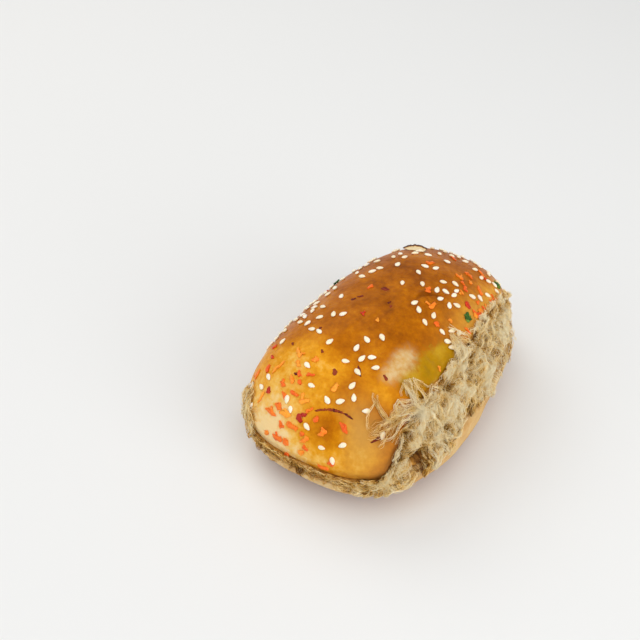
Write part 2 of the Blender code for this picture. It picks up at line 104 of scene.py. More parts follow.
# The belt is the level at which the bun is widest.
BELT_HEIGHT = 17.5 * MM
CROWN_RISE = 38.5 * MM
UNDER_DEPTH = 24.5 * MM
# A power of 2 gives an ellipse, and a higher one has fuller corners.
PLAN_POWER = 2.63
PROFILE_POWER = 2.15
BACK_TAPER = 0.106
FRONT_CORNER_SWELL = 2.4 * MM
FRONT_CORNER_AZIMUTH = math.radians(-118)
FRONT_CORNER_SPREAD = math.radians(24)
# The frame's origin is the middle of the finished solids, a little off the middle of the form.
PLAN_SHIFT = np.array([0.913, 0.405, 0.0]) * MM
# Swells and dips of the top: centre x and y, radii and height, all in mm.
SWELLS = (
    (19.4, -26.4, 4.5, 6.5, 1.1),
    (24.0, -13.0, 7.5, 9.0, -1.2),
    (-15.0, -42.0, 16.0, 15.0, 1.6),
    (3.0, -33.0, 10.0, 9.0, -1.0),
    (-6.0, 12.0, 19.0, 26.0, 0.8),
)
DOUGH_WAVE = 0.6 * MM
DOUGH_WAVE_SIZE = 20 * MM
# The floss is a thin layer on the left, and on the right the top is lifted off the base.
LAYER_MIDDLE = 17.8 * MM
LAYER_THIN = 4.6 * MM
TOP_LIFT = 22.8 * MM
BASE_LIFT = 6.0 * MM
# Where the lift starts and ends across; for front and back a start, a length and a power.
LIFT_ACROSS = (-24 * MM, 26 * MM)
LIFT_FRONT = (-10 * MM, 44 * MM, 4.2)
LIFT_BACK = (5 * MM, 58 * MM, 3.0)


def plan_radius(azimuth):
    """How far the outline seen from above reaches in a direction, before the back narrows it."""
    across = np.abs(np.cos(azimuth) / HALF_WIDTH) ** PLAN_POWER
    along = np.abs(np.sin(azimuth) / HALF_LENGTH) ** PLAN_POWER
    turn = np.mod(azimuth - FRONT_CORNER_AZIMUTH + math.pi, math.tau) - math.pi
    swell = FRONT_CORNER_SWELL * np.exp(-((turn / FRONT_CORNER_SPREAD) ** 2))
    return (across + along) ** (-1.0 / PLAN_POWER) + swell


print("plan radius towards +X and +Y in mm:", np.round(plan_radius(np.array([0.0, math.pi / 2])) / MM, 1))

# %% Soft waves of the dough
WAVE_STEP = 1.5 * MM
WAVE_HALF = 72 * MM
WAVE_COUNT = int(2 * WAVE_HALF / WAVE_STEP) + 1
wave_line = np.arange(WAVE_COUNT) * WAVE_STEP - WAVE_HALF
wave_x, wave_y = np.meshgrid(wave_line, wave_line, indexing="ij")
wave_table = noise_over(np.stack([wave_x, wave_y, 0 * wave_x], -1), DOUGH_WAVE_SIZE)


def relief(x, y):
    """Height of the dough's soft waves and swells over the even form."""
    wave = read_table(wave_table, (x + WAVE_HALF) / WAVE_STEP, (y + WAVE_HALF) / WAVE_STEP)
    return DOUGH_WAVE * wave + MM * mounds(x, y, SWELLS)


def surface(azimuth, rise_angle):
    """Points on the outside of the bun: rise angle 0 at the belt, a right angle at the crown."""
    reach = np.abs(np.cos(rise_angle)) ** (2.0 / PROFILE_POWER)
    climb = np.abs(np.sin(rise_angle)) ** (2.0 / PROFILE_POWER)
    radius = plan_radius(azimuth) * reach
    x = radius * np.cos(azimuth)
    y = radius * np.sin(azimuth)
    x = x * (1.0 - BACK_TAPER * y / HALF_LENGTH)
    above = BELT_HEIGHT + CROWN_RISE * climb + relief(x, y) * smooth_step(0.0, 0.6, climb)
    below = BELT_HEIGHT - UNDER_DEPTH * climb
    return np.stack([x, y, np.where(rise_angle < 0.0, below, above)], -1)


def surface_normal(azimuth, rise_angle):
    """The outward direction, from two short steps over the surface."""
    step = 0.004
    ahead = surface(azimuth + step, rise_angle) - surface(azimuth - step, rise_angle)
    upward = surface(azimuth, rise_angle + step) - surface(azimuth, rise_angle - step)
    return unit(np.cross(ahead, upward))


print("crown height in mm:", np.round(surface(np.array([0.0]), np.array([math.pi / 2]))[0, 2] / MM, 1))

# %% [markdown]
# The slit that was cut for the filling is two curved sheets. The upper one is the floor of the top
# crust and rises steeply towards the side where the floss swells out. The lower one is the roof of the
# base and stays nearly level. Where a sheet meets the outside of the bun there is a rim, and a
# halving search finds it for any direction.

# %% The two sheets of the slit


def lift(x, y):
    """How far the slit is opened: 0 on the left and at both ends, 1 in the middle of the right."""
    across = smooth_step(*LIFT_ACROSS, x)
    front = np.clip((LIFT_FRONT[0] - y) / LIFT_FRONT[1], 0.0, 1.0)
    back = np.clip((y - LIFT_BACK[0]) / LIFT_BACK[1], 0.0, 1.0)
    return across * (1.0 - front ** LIFT_FRONT[2]) * (1.0 - back ** LIFT_BACK[2])


def crust_floor(x, y):
    """Height of the upper sheet of the slit."""
    return LAYER_MIDDLE + LAYER_THIN / 2 + TOP_LIFT * lift(x, y)


def base_roof(x, y):
    """Height of the lower sheet of the slit."""
    return LAYER_MIDDLE - LAYER_THIN / 2 + BASE_LIFT * lift(x, y)


FOOT_ANGLE = -math.asin((BELT_HEIGHT / UNDER_DEPTH) ** (PROFILE_POWER / 2))


def rim_angle(azimuth, level):
    """Halves the range again and again until the outside meets the sheet."""
    low = np.full(np.shape(azimuth), FOOT_ANGLE)
    high = np.full(np.shape(azimuth), math.pi / 2)
    for _ in range(24):
        middle = (low + high) / 2
        point = surface(azimuth, middle)
        under = point[..., 2] < level(point[..., 0], point[..., 1])
        low = np.where(under, middle, low)
        high = np.where(under, high, middle)
    return (low + high) / 2


RIM_TURNS = np.linspace(-math.pi, math.pi, 721)
crust_rim_table = rim_angle(RIM_TURNS, crust_floor)
base_rim_table = rim_angle(RIM_TURNS, base_roof)


def crust_rim(azimuth):
    """Rise angle of the crust's lower edge, read from the table."""
    return np.interp(np.mod(azimuth + math.pi, math.tau) - math.pi, RIM_TURNS, crust_rim_table)


def base_rim(azimuth):
    """Rise angle of the base's upper edge."""
    return np.interp(np.mod(azimuth + math.pi, math.tau) - math.pi, RIM_TURNS, base_rim_table)


lip = surface(np.array([0.0]), crust_rim(np.array([0.0])))[0]
print("the lip of the crust on the open side is at mm:", np.round(lip / MM, 1))

# %% [markdown]
# Every material is built from shader nodes. One helper adds a node, sets its sockets and joins it to
# others, and one turns the hex colours that painters and web pages use into the linear light that the
# renderer adds up.

# %% Helpers for materials


def linear(code, alpha=1.0):
    """Linear red, green, blue and alpha from an sRGB hex colour."""
    parts = [int(code[i : i + 2], 16) / 255 for i in (1, 3, 5)]
    return tuple(c / 12.92 if c <= 0.04045 else ((c + 0.055) / 1.055) ** 2.4 for c in parts) + (alpha,)


def set_sockets(node, values):
    """Puts constants on the node's own sockets."""
    for socket, value in dict(values).items():
        node.inputs[socket].default_value = value


def add_node(tree, kind, settings=(), links=(), values=()):
    """Adds a node; settings are its properties, values its sockets, links what feeds its sockets."""
    node = tree.nodes.new("ShaderNode" + kind)
    for name, value in dict(settings).items():
        setattr(node, name, value)
    set_sockets(node, values)
    for socket, source in dict(links).items():
        tree.links.new(source, node.inputs[socket])
    return node


def ramp_stops(node, stops):
    """Fills a colour ramp from pairs of place and hex colour."""
    ramp = node.color_ramp
    while len(ramp.elements) > 1:
        ramp.elements.remove(ramp.elements[-1])
    for index, (place, code) in enumerate(stops):
        element = ramp.elements[0] if index == 0 else ramp.elements.new(place)
        element.position = place
        element.color = linear(code)


def new_material(name):
    """A material with nodes; gives it back with its tree and its main shader."""
    material = bpy.data.materials.new(name)
    material.use_nodes = True
    tree = material.node_tree
    return material, tree, tree.nodes["Principled BSDF"]


print("pale crust in linear light:", [round(c, 3) for c in linear("#E4C283")[:3]])

# %% Helpers for meshes


def mesh_from(name, points, faces, material, tints):
    """A piece from points and faces, moved into the frame's plan, with a tint for each point."""
    mesh = bpy.data.meshes.new(name)
    mesh.from_pydata((np.asarray(points) + PLAN_SHIFT).tolist(), [], faces)
    mesh.shade_smooth()
    mesh.materials.append(material)
    piece = bpy.data.objects.new(name, mesh)
    bpy.context.scene.collection.objects.link(piece)
    set_attribute(piece, "tint", tints)
    return piece


def rounded_turn(turn):
    """Even steps round a sphere become steps that are closer at the bun's rounded ends."""
    return np.arctan2(HALF_LENGTH * np.sin(turn), HALF_WIDTH * np.cos(turn))


def start_ball(name, turns, rings):
    """A UV sphere, with each point's direction round the bun and its share of the way down."""
    bpy.ops.object.select_all(action="DESELECT")
    bpy.ops.mesh.primitive_uv_sphere_add(segments=turns, ring_count=rings, radius=1.0)
    piece = bpy.context.object
    piece.name = name
    ball = np.array([v.co for v in piece.data.vertices])
    azimuth = rounded_turn(np.arctan2(ball[:, 1], ball[:, 0]))
    azimuth[np.hypot(ball[:, 0], ball[:, 1]) < 1e-6] = 0.0
    return piece, azimuth, np.arccos(np.clip(ball[:, 2], -1, 1)) / math.pi


def reshape_ball(piece, points, material):
    """Moves the sphere's points to their places on the bun."""
    piece.data.vertices.foreach_set("co", (points + PLAN_SHIFT).astype(np.float32).ravel())
    piece.data.shade_smooth()
    piece.data.update()
    piece.data.materials.append(material)


def set_attribute(piece, name, values):
    """Stores a number for each point of the mesh, which a material can read by its name."""
    layer = piece.data.attributes.new(name, "FLOAT", "POINT")
    layer.data.foreach_set("value", np.asarray(values, np.float32))


def settle(piece, *nodes):
    """Puts the finished piece on the frame and lets it stand for the solids named."""
    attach(piece, "root")
    if nodes:
        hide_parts(*nodes)
    triangles = sum(len(p.vertices) - 2 for p in piece.data.polygons)
    print(piece.name, "has", triangles, "triangles")


print("turns of 30 and 60 degrees become", np.round(np.degrees(rounded_turn(np.radians([30, 60]))), 1))

# %% [markdown]
# The crust is the browned skin of the top. A UV sphere is a good start, because its rings can become
# the rings of the dome: the upper half is moved onto the bun's outside and the lower half onto the
# sheet of the slit, so the piece is closed like the real top. Its edge is rolled over a little, as
# baked dough never ends in a knife edge.

# %% The crust's form
CRUST_TURNS = 300
CRUST_RINGS = 150
DOME_SHARE = 0.80

crust, azimuth, descent = start_ball("glazed_crust", CRUST_TURNS, CRUST_RINGS)
rim = crust_rim(azimuth)
on_dome = descent <= DOME_SHARE
dome_share = np.clip(descent / DOME_SHARE, 0, 1)
dome_angle = math.pi / 2 + (rim - math.pi / 2) * dome_share
dome = surface(azimuth, dome_angle)
rim_point = surface(azimuth, rim)
inward = np.clip((1 - descent) / (1 - DOME_SHARE), 0, 1)
floor_x, floor_y = rim_point[:, 0] * inward, rim_point[:, 1] * inward
floor = np.stack([floor_x, floor_y, crust_floor(floor_x, floor_y)], -1)
crust_points = np.where(on_dome[:, None], dome, floor)
print("crust points:", len(crust_points))

# %% [markdown]
# Small relief makes the crust read as baked: a fold that runs in an arc near the back, puckers round
# the pale blister, and faint wrinkles where the skin set before the crumb had finished rising. Each is
# a few tenths of a millimetre, pushed along the surface normal.

# %% The crust's small relief
ROLL_BACK = 1.3 * MM


def arc_fold(x, y, centre_x, centre_y, radius, start, end, width):
    """1 along an arc of a circle in plan, all in mm and degrees, and 0 away from it."""
    dx, dy = x / MM - centre_x, y / MM - centre_y
    off = (np.hypot(dx, dy) - radius) / width
    turn = np.degrees(np.arctan2(dy, dx))
    middle, half = (start + end) / 2, (end - start) / 2
    aside = np.clip(1 - (np.abs(np.mod(turn - middle + 180, 360) - 180) / half) ** 4, 0, 1)
    return np.exp(-(off**2)) * aside


on_arc = arc_fold(np.array([8.5, 10.5]) * MM, 0.0, 0, 0, 8.5, -90, 90, 1)
print("on an arc and two widths off it:", np.round(on_arc, 2))

# %% Slits and burnt pits
# Slits as three points in mm in plan; pits as centre x and y, length, width in mm, and turn.
SLITS = (((0.9, -54.9), (6.8, -52.4), (13.4, -51.5)), ((23.4, -52.4), (24.9, -50.2), (26.6, -48.2)))
SLIT_STEPS = 12
BURNT_DOTS = (
    (-5.4, 0.6, 3.0, 1.8, 0.2),
    (-13.2, -9.8, 2.2, 1.1, 0.9),
    (-11.6, -7.3, 2.4, 1.1, 0.7),
    (0.2, -5.7, 2.0, 1.0, 1.5),
    (1.9, -7.3, 2.0, 1.0, 1.9),
    (0.0, -42.0, 3.0, 1.5, 2.0),
    (7.2, -37.2, 4.0, 1.1, 2.3),
    (16.8, -34.6, 2.7, 1.0, 2.5),
    (-12.6, -48.4, 1.7, 1.1, 0.4),
    (-8.3, -37.9, 1.8, 1.2, 2.8),
    (-21.7, -37.9, 2.4, 1.0, 2.4),
    (-15.3, -29.0, 1.5, 1.0, 0.6),
)


def slit_point(slit, t):
    """A spot on the bowed line through the three points of a slit, in mm."""
    (x0, y0), (x1, y1), (x2, y2) = slit
    bow = 4 * t * (1 - t)
    return x0 + (x2 - x0) * t + (x1 - (x0 + x2) / 2) * bow, y0 + (y2 - y0) * t + (y1 - (y0 + y2) / 2) * bow


print("slits:", len(SLITS), "pits:", len(BURNT_DOTS))

# %% Folds and gathers
# Folds in the skin as arcs in plan: centre x and y, radius, start and end in degrees, width, height.
ARCS = (
    (16.0, 2.0, 8.5, 95, 190, 0.8, -0.45),
    (16.8, 2.6, 9.9, 95, 190, 1.0, 0.30),
    (19.4, -26.4, 6.2, -180, 180, 1.1, -0.28),
)
GATHER_SPACING = 4.2
GATHER_HEIGHT = 0.20
SLIT_DEPTH, PIT_DEPTH = 0.40, 0.30


def fine_relief(x, y):
    """Height of the folds, gathers, slits and small pits of the skin."""
    height = sum(rise * arc_fold(x, y, *arc) for *arc, rise in ARCS)
    gathers = np.sin(math.tau * (y / MM + 0.45 * x / MM + 1.5 * np.sin(x / MM / 2.5)) / GATHER_SPACING)
    height = height + GATHER_HEIGHT * gathers * mound(x, y, 26.0, -15.0, 5.0, 12.0)
    for slit in SLITS:
        cut = 0.0
        for step in range(SLIT_STEPS + 1):
            spot_x, spot_y = slit_point(slit, step / SLIT_STEPS)
            cut = np.maximum(cut, mound(x, y, spot_x, spot_y, 0.8, 0.8))
        height = height - SLIT_DEPTH * cut
    for spot_x, spot_y, length, _, _ in BURNT_DOTS:
        height = height - PIT_DEPTH * mound(x, y, spot_x, spot_y, length * 0.6, length * 0.6)
    return height * MM


normal = surface_normal(azimuth, np.clip(dome_angle, 0.0, math.pi / 2 - 0.01))
wrinkle = noise_over(crust_points, np.array([4.2, 7.5, 4.2]) * MM)
grain = noise_over(crust_points, 1.8 * MM)
x, y = crust_points[:, 0], crust_points[:, 1]
moist = mound(x, y, 27.0, -18.0, 7.0, 12.0)
push = fine_relief(x, y) + (0.13 * wrinkle + (0.05 + 0.30 * moist) * grain) * MM
near_rim = smooth_step(0.90, 1.0, dome_share) * on_dome
push = np.where(on_dome, push * (1 - near_rim), 0.0)
crust_points = crust_points + normal * push[:, None]
under_rim = np.where(on_dome, near_rim, smooth_step(0.88, 1.0, inward)) ** 2
to_middle = unit(-crust_points * np.array([1, 1, 0]))
crust_points = crust_points + to_middle * (under_rim * ROLL_BACK)[:, None]
print("relief from", round(push.min() / MM, 2), "to", round(push.max() / MM, 2), "mm")

# %% [markdown]
# How brown the crust is depends on how long each spot met the hot air: the high crown is brown, the
# sides stay golden and the low front end, which was shaded in the oven, is pale. That goes into an
# attribute on the mesh, a number for each point, which the material then turns into colour.

# %% How brown each spot is
# Each row is a spot that baked browner or paler: centre x and y, radii in mm, and how much.
BAKE_SPOTS = (
    (-2.0, 8.0, 18.0, 30.0, 0.09),
    (7.0, -43.0, 5.5, 6.0, 0.24),
    (19.0, -45.5, 7.0, 6.0, 0.20),
    (28.5, -49.5, 5.5, 4.5, 0.34),
    (23.0, -55.5, 5.0, 4.0, -0.07),
    (8.3, -58.3, 5.4, 4.2, 0.36),
    (-18.0, -53.0, 11.0, 9.0, -0.17),
    (-13.0, -38.0, 11.0, 7.0, -0.12),
    (-15.0, -61.5, 12.0, 7.5, -0.27),
    (15.0, -63.0, 9.0, 3.2, -0.20),
    (1.0, -64.5, 8.0, 3.0, -0.16),
    (25.0, 36.0, 8.0, 18.0, -0.26),
)
SYRUP_SPOTS = ((27.0, -18.5, 6.8, 9.5, 1.0), (29.0, -7.0, 4.8, 7.0, 0.8), (25.0, -31.0, 6.0, 4.0, 0.8))
BLISTER_SPOTS = ((18.6, -25.8, 4.2, 7.6, 1.0), (17.0, -33.5, 3.5, 3.5, 0.45))
# Spots where a dull darker tan is mixed into the glaze, partly the colour of thinly glazed dough and partly
# painted shade, most of all on the front right: centre x and y, radii in mm, and how much.
SHADED_TAN_SPOTS = (
    (19.0, -53.0, 10.0, 8.0, 0.70),
    (-11.0, -55.0, 13.0, 9.0, 0.12),
    (28.0, 18.0, 8.0, 22.0, 0.48),
    (8.3, -58.3, 5.6, 4.4, -0.60),
)
EVEN_BAKE = 0.36
x, y, z = crust_points[:, 0], crust_points[:, 1], crust_points[:, 2] / MM
top_side = smooth_step(24.0, 44.0, z)
bake = EVEN_BAKE + 0.06 * top_side + mounds(x, y, BAKE_SPOTS)
bake += 0.32 * smooth_step(-43.0, -28.0, y / MM) * top_side
bake -= 0.26 * smooth_step(18.0, 27.0, x / MM) * smooth_step(-8.0, 10.0, y / MM)
bake += 0.18 * arc_fold(x, y, 16.0, 2.0, 8.5, 95, 190, 0.9)
torn_front = np.exp(-(((np.degrees(azimuth) + 60.0) / 9.0) ** 2))
bake += 0.60 * torn_front * smooth_step(0.82, 0.97, dome_share) * on_dome
syrup = mounds(x, y, SYRUP_SPOTS)
blister = mounds(x, y, BLISTER_SPOTS)
shaded_tan = np.clip(mounds(x, y, SHADED_TAN_SPOTS), 0.0, 1.0)
print("bake runs from", round(bake.min(), 2), "to", round(bake.max(), 2))

# %% [markdown]
# An egg glaze bakes to a thin clear coat over browned dough. Its colour runs from cream through
# yellow-gold to brown, mottled at two sizes because the brush leaves more egg in some places. A coat
# gives the soft sheen, and fine bumps break it up as baked skin does.

# %% Egg glaze
glaze, tree, shader = new_material("baked_egg_glaze")
place = add_node(tree, "TexCoord").outputs["Object"]
read = {
    name: add_node(tree, "Attribute", {"attribute_name": name}).outputs["Fac"]
    for name in ("bake", "syrup", "blister", "shaded_tan")
}
broad = add_node(
    tree, "TexNoise", {}, {"Vector": place}, {"Scale": 1 / (11 * MM), "Detail": 5.0, "Roughness": 0.55}
)
small = add_node(
    tree, "TexNoise", {}, {"Vector": place}, {"Scale": 1 / (2.2 * MM), "Detail": 4.0, "Roughness": 0.6}
)
speckled = read["bake"]
for mottle, strength in ((broad, 0.72), (small, 0.50)):
    shift = add_node(
        tree,
        "Math",
        {"operation": "MULTIPLY_ADD"},
        {0: mottle.outputs["Fac"]},
        {1: strength, 2: -strength / 2},
    )
    speckled = add_node(
        tree, "Math", {"operation": "ADD"}, {0: speckled, 1: shift.outputs[0]}
    ).outputs[0]
print("the glaze reads", ", ".join(read))

# %% Browning of the glaze
browning = add_node(tree, "ValToRGB", {}, {"Fac": speckled})
ramp_stops(
    browning,
    (
        (0.02, "#F8D79A"),
        (0.18, "#F2BC56"),
        (0.34, "#E59C1C"),
        (0.50, "#D08209"),
        (0.70, "#B86802"),
        (0.88, "#9E5401"),
        (1.00, "#864504"),
    ),
)
# The tan mix is partly painted shade: a dull darker pale where the front right lies in shade.
shaded_tan_skin = add_node(
    tree,
    "Mix",
    {"data_type": "RGBA"},
    {0: read["shaded_tan"], 6: browning.outputs["Color"]},
    {7: linear("#C8994F")},
)
print("browning has", len(browning.color_ramp.elements), "colours")

# %% [markdown]
# Two patches by the filling look different. On one the skin soaked up fat and turned a wet yellow
# olive, and beside it a blister dried to a dull cream. Each is a ramp of its own, mixed in by an
# attribute, and its edge is broken up by the small mottle, as a drop soaks in unevenly.

# %% Moist patch and dry blister


def ragged_patch(value, wander, start, end, most):
    """Turns a soft attribute into a patch whose edge wanders with the small mottle."""
    edge = add_node(
        tree,
        "Math",
        {"operation": "MULTIPLY_ADD"},
        {0: small.outputs["Fac"]},
        {1: wander, 2: -wander / 2},
    )
    total = add_node(tree, "Math", {"operation": "ADD"}, {0: value, 1: edge.outputs[0]})
    return add_node(
        tree,
        "MapRange",
        {"interpolation_type": "SMOOTHSTEP"},
        {"Value": total.outputs[0]},
        {"From Min": start, "From Max": end, "To Min": 0.0, "To Max": most},
    ).outputs["Result"]


syrup_patch = ragged_patch(read["syrup"], 0.90, 0.25, 0.80, 0.85)
blister_patch = ragged_patch(read["blister"], 0.36, 0.12, 0.92, 0.76)
syrup_colour = add_node(tree, "ValToRGB", {}, {"Fac": broad.outputs["Fac"]})
ramp_stops(syrup_colour, ((0.30, "#94730A"), (0.50, "#B5880C"), (0.70, "#D0A62A")))
with_syrup = add_node(
    tree,
    "Mix",
    {"data_type": "RGBA"},
    {0: syrup_patch, 6: shaded_tan_skin.outputs[2], 7: syrup_colour.outputs["Color"]},
)
dry_skin = add_node(tree, "ValToRGB", {}, {"Fac": small.outputs["Fac"]})
ramp_stops(dry_skin, ((0.34, "#D9AE66"), (0.48, "#E0BE80"), (0.62, "#E6CC98")))
skin_colour = add_node(
    tree,
    "Mix",
    {"data_type": "RGBA"},
    {0: blister_patch, 6: with_syrup.outputs[2], 7: dry_skin.outputs["Color"]},
)
tree.links.new(skin_colour.outputs[2], shader.inputs["Base Color"])
print("patches:", syrup_patch.node.name, blister_patch.node.name)

# %% Skin and gloss of the glaze
pores = add_node(
    tree, "TexNoise", {}, {"Vector": place}, {"Scale": 1 / (0.7 * MM), "Detail": 3.0, "Roughness": 0.6}
)
skin_bump = add_node(
    tree, "Bump", {}, {"Height": pores.outputs["Fac"]}, {"Strength": 0.22, "Distance": 0.00025}
)
fold_bump = add_node(
    tree,
    "Bump",
    {},
    {"Height": small.outputs["Fac"], "Normal": skin_bump.outputs["Normal"]},
    {"Strength": 0.35, "Distance": 0.0006},
)
tree.links.new(fold_bump.outputs["Normal"], shader.inputs["Normal"])
dull = add_node(
    tree,
    "MapRange",
    {},
    {"Value": broad.outputs["Fac"]},
    {"From Min": 0.3, "From Max": 0.7, "To Min": 0.36, "To Max": 0.52},
)
wet = add_node(
    tree,
    "Math",
    {"operation": "MULTIPLY_ADD", "use_clamp": True},
    {0: syrup_patch, 2: dull.outputs["Result"]},
    {1: -0.34},
)
tree.links.new(wet.outputs[0], shader.inputs["Roughness"])
constants = {
    "IOR": 1.42,
    "Specular IOR Level": 0.26,
    "Specular Tint": linear("#FFC070"),
    "Coat Weight": 0.04,
    "Coat Roughness": 0.28,
    "Coat IOR": 1.42,
    "Subsurface Weight": 0.08,
    "Subsurface Radius": (1.0, 0.45, 0.2),
    "Subsurface Scale": 0.002,
}
set_sockets(shader, constants)
print("nodes in the glaze:", len(tree.nodes))

# %% Putting the crust together
reshape_ball(crust, crust_points, glaze)
set_attribute(crust, "bake", bake)
for name, values in (("shaded_tan", shaded_tan), ("syrup", syrup), ("blister", blister)):
    set_attribute(crust, name, np.where(on_dome, values, 0.0))
settle(crust, "bun_top")

# %% [markdown]
# The seeds and shreds sit exactly where the solid has them. Each shows on the solid as a patch that
# stands proud of the crust, so patches of joined raised points are gathered, and each patch gives a
# place, a direction and a size. Sesame is thicker than the shreds, so height tells the two apart, for
# all but a few seeds, which are read as shreds.

# %% Feeling for the skin
skin_tree = BVHTree.FromPolygons(
    crust_points.tolist(), [tuple(p.vertices) for p in crust.data.polygons], all_triangles=False
)


def above_skin(point):
    """Foot point, outward normal and height of a point over the crust."""
    foot, _, _, _ = skin_tree.find_nearest(Vector(point))
    foot = np.array(foot)
    angle_azimuth, angle_rise = skin_angles(foot)
    outward = surface_normal(angle_azimuth, angle_rise)
    return foot, outward, float(np.dot(np.array(point) - foot, outward))


def skin_angles(point):
    """Azimuth and rise angle of a spot of the crust, from its place in plan."""
    square = point[0] / (1.0 - BACK_TAPER * point[1] / HALF_LENGTH)
    spot_azimuth = np.arctan2(point[1], square)
    reach = np.clip(np.hypot(square, point[1]) / plan_radius(spot_azimuth), 0.0, 0.9995)
    return spot_azimuth, np.arccos(reach ** (PROFILE_POWER / 2))


print("a point 60 mm up is", round(above_skin((0.0, 0.0, 60 * MM))[2] / MM, 1), "mm over the skin")

# %% Finding the bits on the solid
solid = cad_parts["bun_top"].data
solid_points = np.array([v.co for v in solid.vertices]) - PLAN_SHIFT
_, first, same = np.unique(np.round(solid_points / MM, 3), axis=0, return_index=True, return_inverse=True)
solid_points = solid_points[first]
same = same.reshape(-1)
measured = [above_skin(point) for point in solid_points]
heights = np.array([m[2] for m in measured]) / MM
RAISED = 0.30
group = list(range(len(solid_points)))


def leader(member):
    """The point that stands for all that are joined to this one."""
    while group[member] != member:
        group[member] = group[group[member]]
        member = group[member]
    return member


for polygon in solid.polygons:
    raised = [int(same[v]) for v in polygon.vertices if heights[same[v]] > RAISED]
    for one, other in zip(raised, raised[1:]):
        group[leader(one)] = leader(other)
patches = {}
for member in np.flatnonzero(heights > RAISED):
    patches.setdefault(leader(int(member)), []).append(int(member))
SESAME_HEIGHT = 0.74
bits = []
for members in patches.values():
    if len(members) < 4:
        continue
    cloud = solid_points[members]
    centre = (cloud.min(axis=0) + cloud.max(axis=0)) / 2
    foot, outward, _ = above_skin(centre)
    _, _, axes = np.linalg.svd(cloud - cloud.mean(axis=0))
    along = unit(axes[0] - outward * np.dot(axes[0], outward))
    length = float(np.ptp(cloud @ along))
    width = float(np.ptp(cloud @ np.cross(outward, along)))
    kind = "sesame" if heights[members].max() > SESAME_HEIGHT else "shred"
    bits.append((kind, foot, outward, along, length, width))
print("bits on the solid:", {k: sum(b[0] == k for b in bits) for k in ("sesame", "shred")})

# %% [markdown]
# A sesame seed is a flat teardrop, about 3 mm long, with a rounded rim. One is modelled from a small
# sphere, squeezed and drawn to a point at one end, and then copied to every place with its own turn.
# More seeds than the solid carries are added between the others, as thickly as on the real crust.

# %% Sesame seed pattern
bpy.ops.object.select_all(action="DESELECT")
bpy.ops.mesh.primitive_uv_sphere_add(segments=12, ring_count=8, radius=0.5, rotation=(0, math.pi / 2, 0))
seed_pattern = bpy.context.object
bpy.ops.object.transform_apply(location=False, rotation=True, scale=True)
bpy.ops.object.mode_set(mode="EDIT")
bpy.ops.mesh.select_all(action="SELECT")
bpy.ops.transform.resize(value=(0.98, 0.64, 0.38))
bpy.ops.object.mode_set(mode="OBJECT")
seed_points = np.array([v.co for v in seed_pattern.data.vertices])
point_end = smooth_step(-0.1, 0.5, seed_points[:, 0])
seed_points[:, 1] *= 1.0 - 0.38 * point_end
seed_points[:, 2] *= 1.0 - 0.25 * point_end
seed_points[:, 0] += 0.04 * point_end
seed_faces = [list(p.vertices) for p in seed_pattern.data.polygons]
bpy.data.objects.remove(seed_pattern, do_unlink=True)
print("a seed has", len(seed_faces), "faces")


def scattered(name, patterns, pattern_faces, places, material, tints):
    """Joined copies of the patterns in turn; a place is foot, normal, direction, sizes and lift."""
    points, faces = [], []
    count = len(patterns[0])
    for number, (foot, outward, along, sizes, raise_by) in enumerate(places):
        axes = np.stack([along, np.cross(outward, along), outward])
        points.append(foot + outward * raise_by + (patterns[number % len(patterns)] * sizes) @ axes)
        faces.extend([[v + number * count for v in face] for face in pattern_faces])
    return mesh_from(name, np.concatenate(points), faces, material, np.repeat(tints, count))


# %% [markdown]
# Hulled sesame is cream, a little oily and lets some light through, and its tips toast to straw. So
# its colour comes from a tint of each seed's own plus a fine mottle, with a soft sheen on top.

# %% Hulled sesame
hull, tree, shader = new_material("hulled_toasted_sesame")
tint = add_node(tree, "Attribute", {"attribute_name": "tint"}).outputs["Fac"]
place = add_node(tree, "TexCoord").outputs["Object"]
toast = add_node(
    tree, "TexNoise", {}, {"Vector": place}, {"Scale": 1 / (1.2 * MM), "Detail": 2.0, "Roughness": 0.5}
)
toast_sum = add_node(
    tree, "Math", {"operation": "MULTIPLY_ADD"}, {0: toast.outputs["Fac"], 2: tint}, {1: 0.35}
)
toast_colour = add_node(tree, "ValToRGB", {}, {"Fac": toast_sum.outputs[0]})
ramp_stops(toast_colour, ((0.10, "#FFF6E2"), (0.55, "#FBEBCB"), (0.95, "#F0D29C"), (1.0, "#DDB064")))
tree.links.new(toast_colour.outputs["Color"], shader.inputs["Base Color"])
constants = {
    "Roughness": 0.42,
    "Subsurface Weight": 0.25,
    "Subsurface Radius": (1.0, 0.7, 0.4),
    "Subsurface Scale": 0.0006,
}
set_sockets(shader, constants)
print("sesame material ready")

# %% Places for the seeds
chance = random.Random(2024)
seed_places, seed_spots = [], []
for kind, foot, outward, along, length, width in bits:
    if kind != "sesame":
        continue
    size = 3.15 * MM * chance.uniform(0.92, 1.06)
    way = 1 if chance.random() < 0.5 else -1
    seed_places.append((foot, outward, along * way, (size, size, size), 0.42 * MM))
    seed_spots.append(foot)
print("seeds from the solid:", len(seed_places))

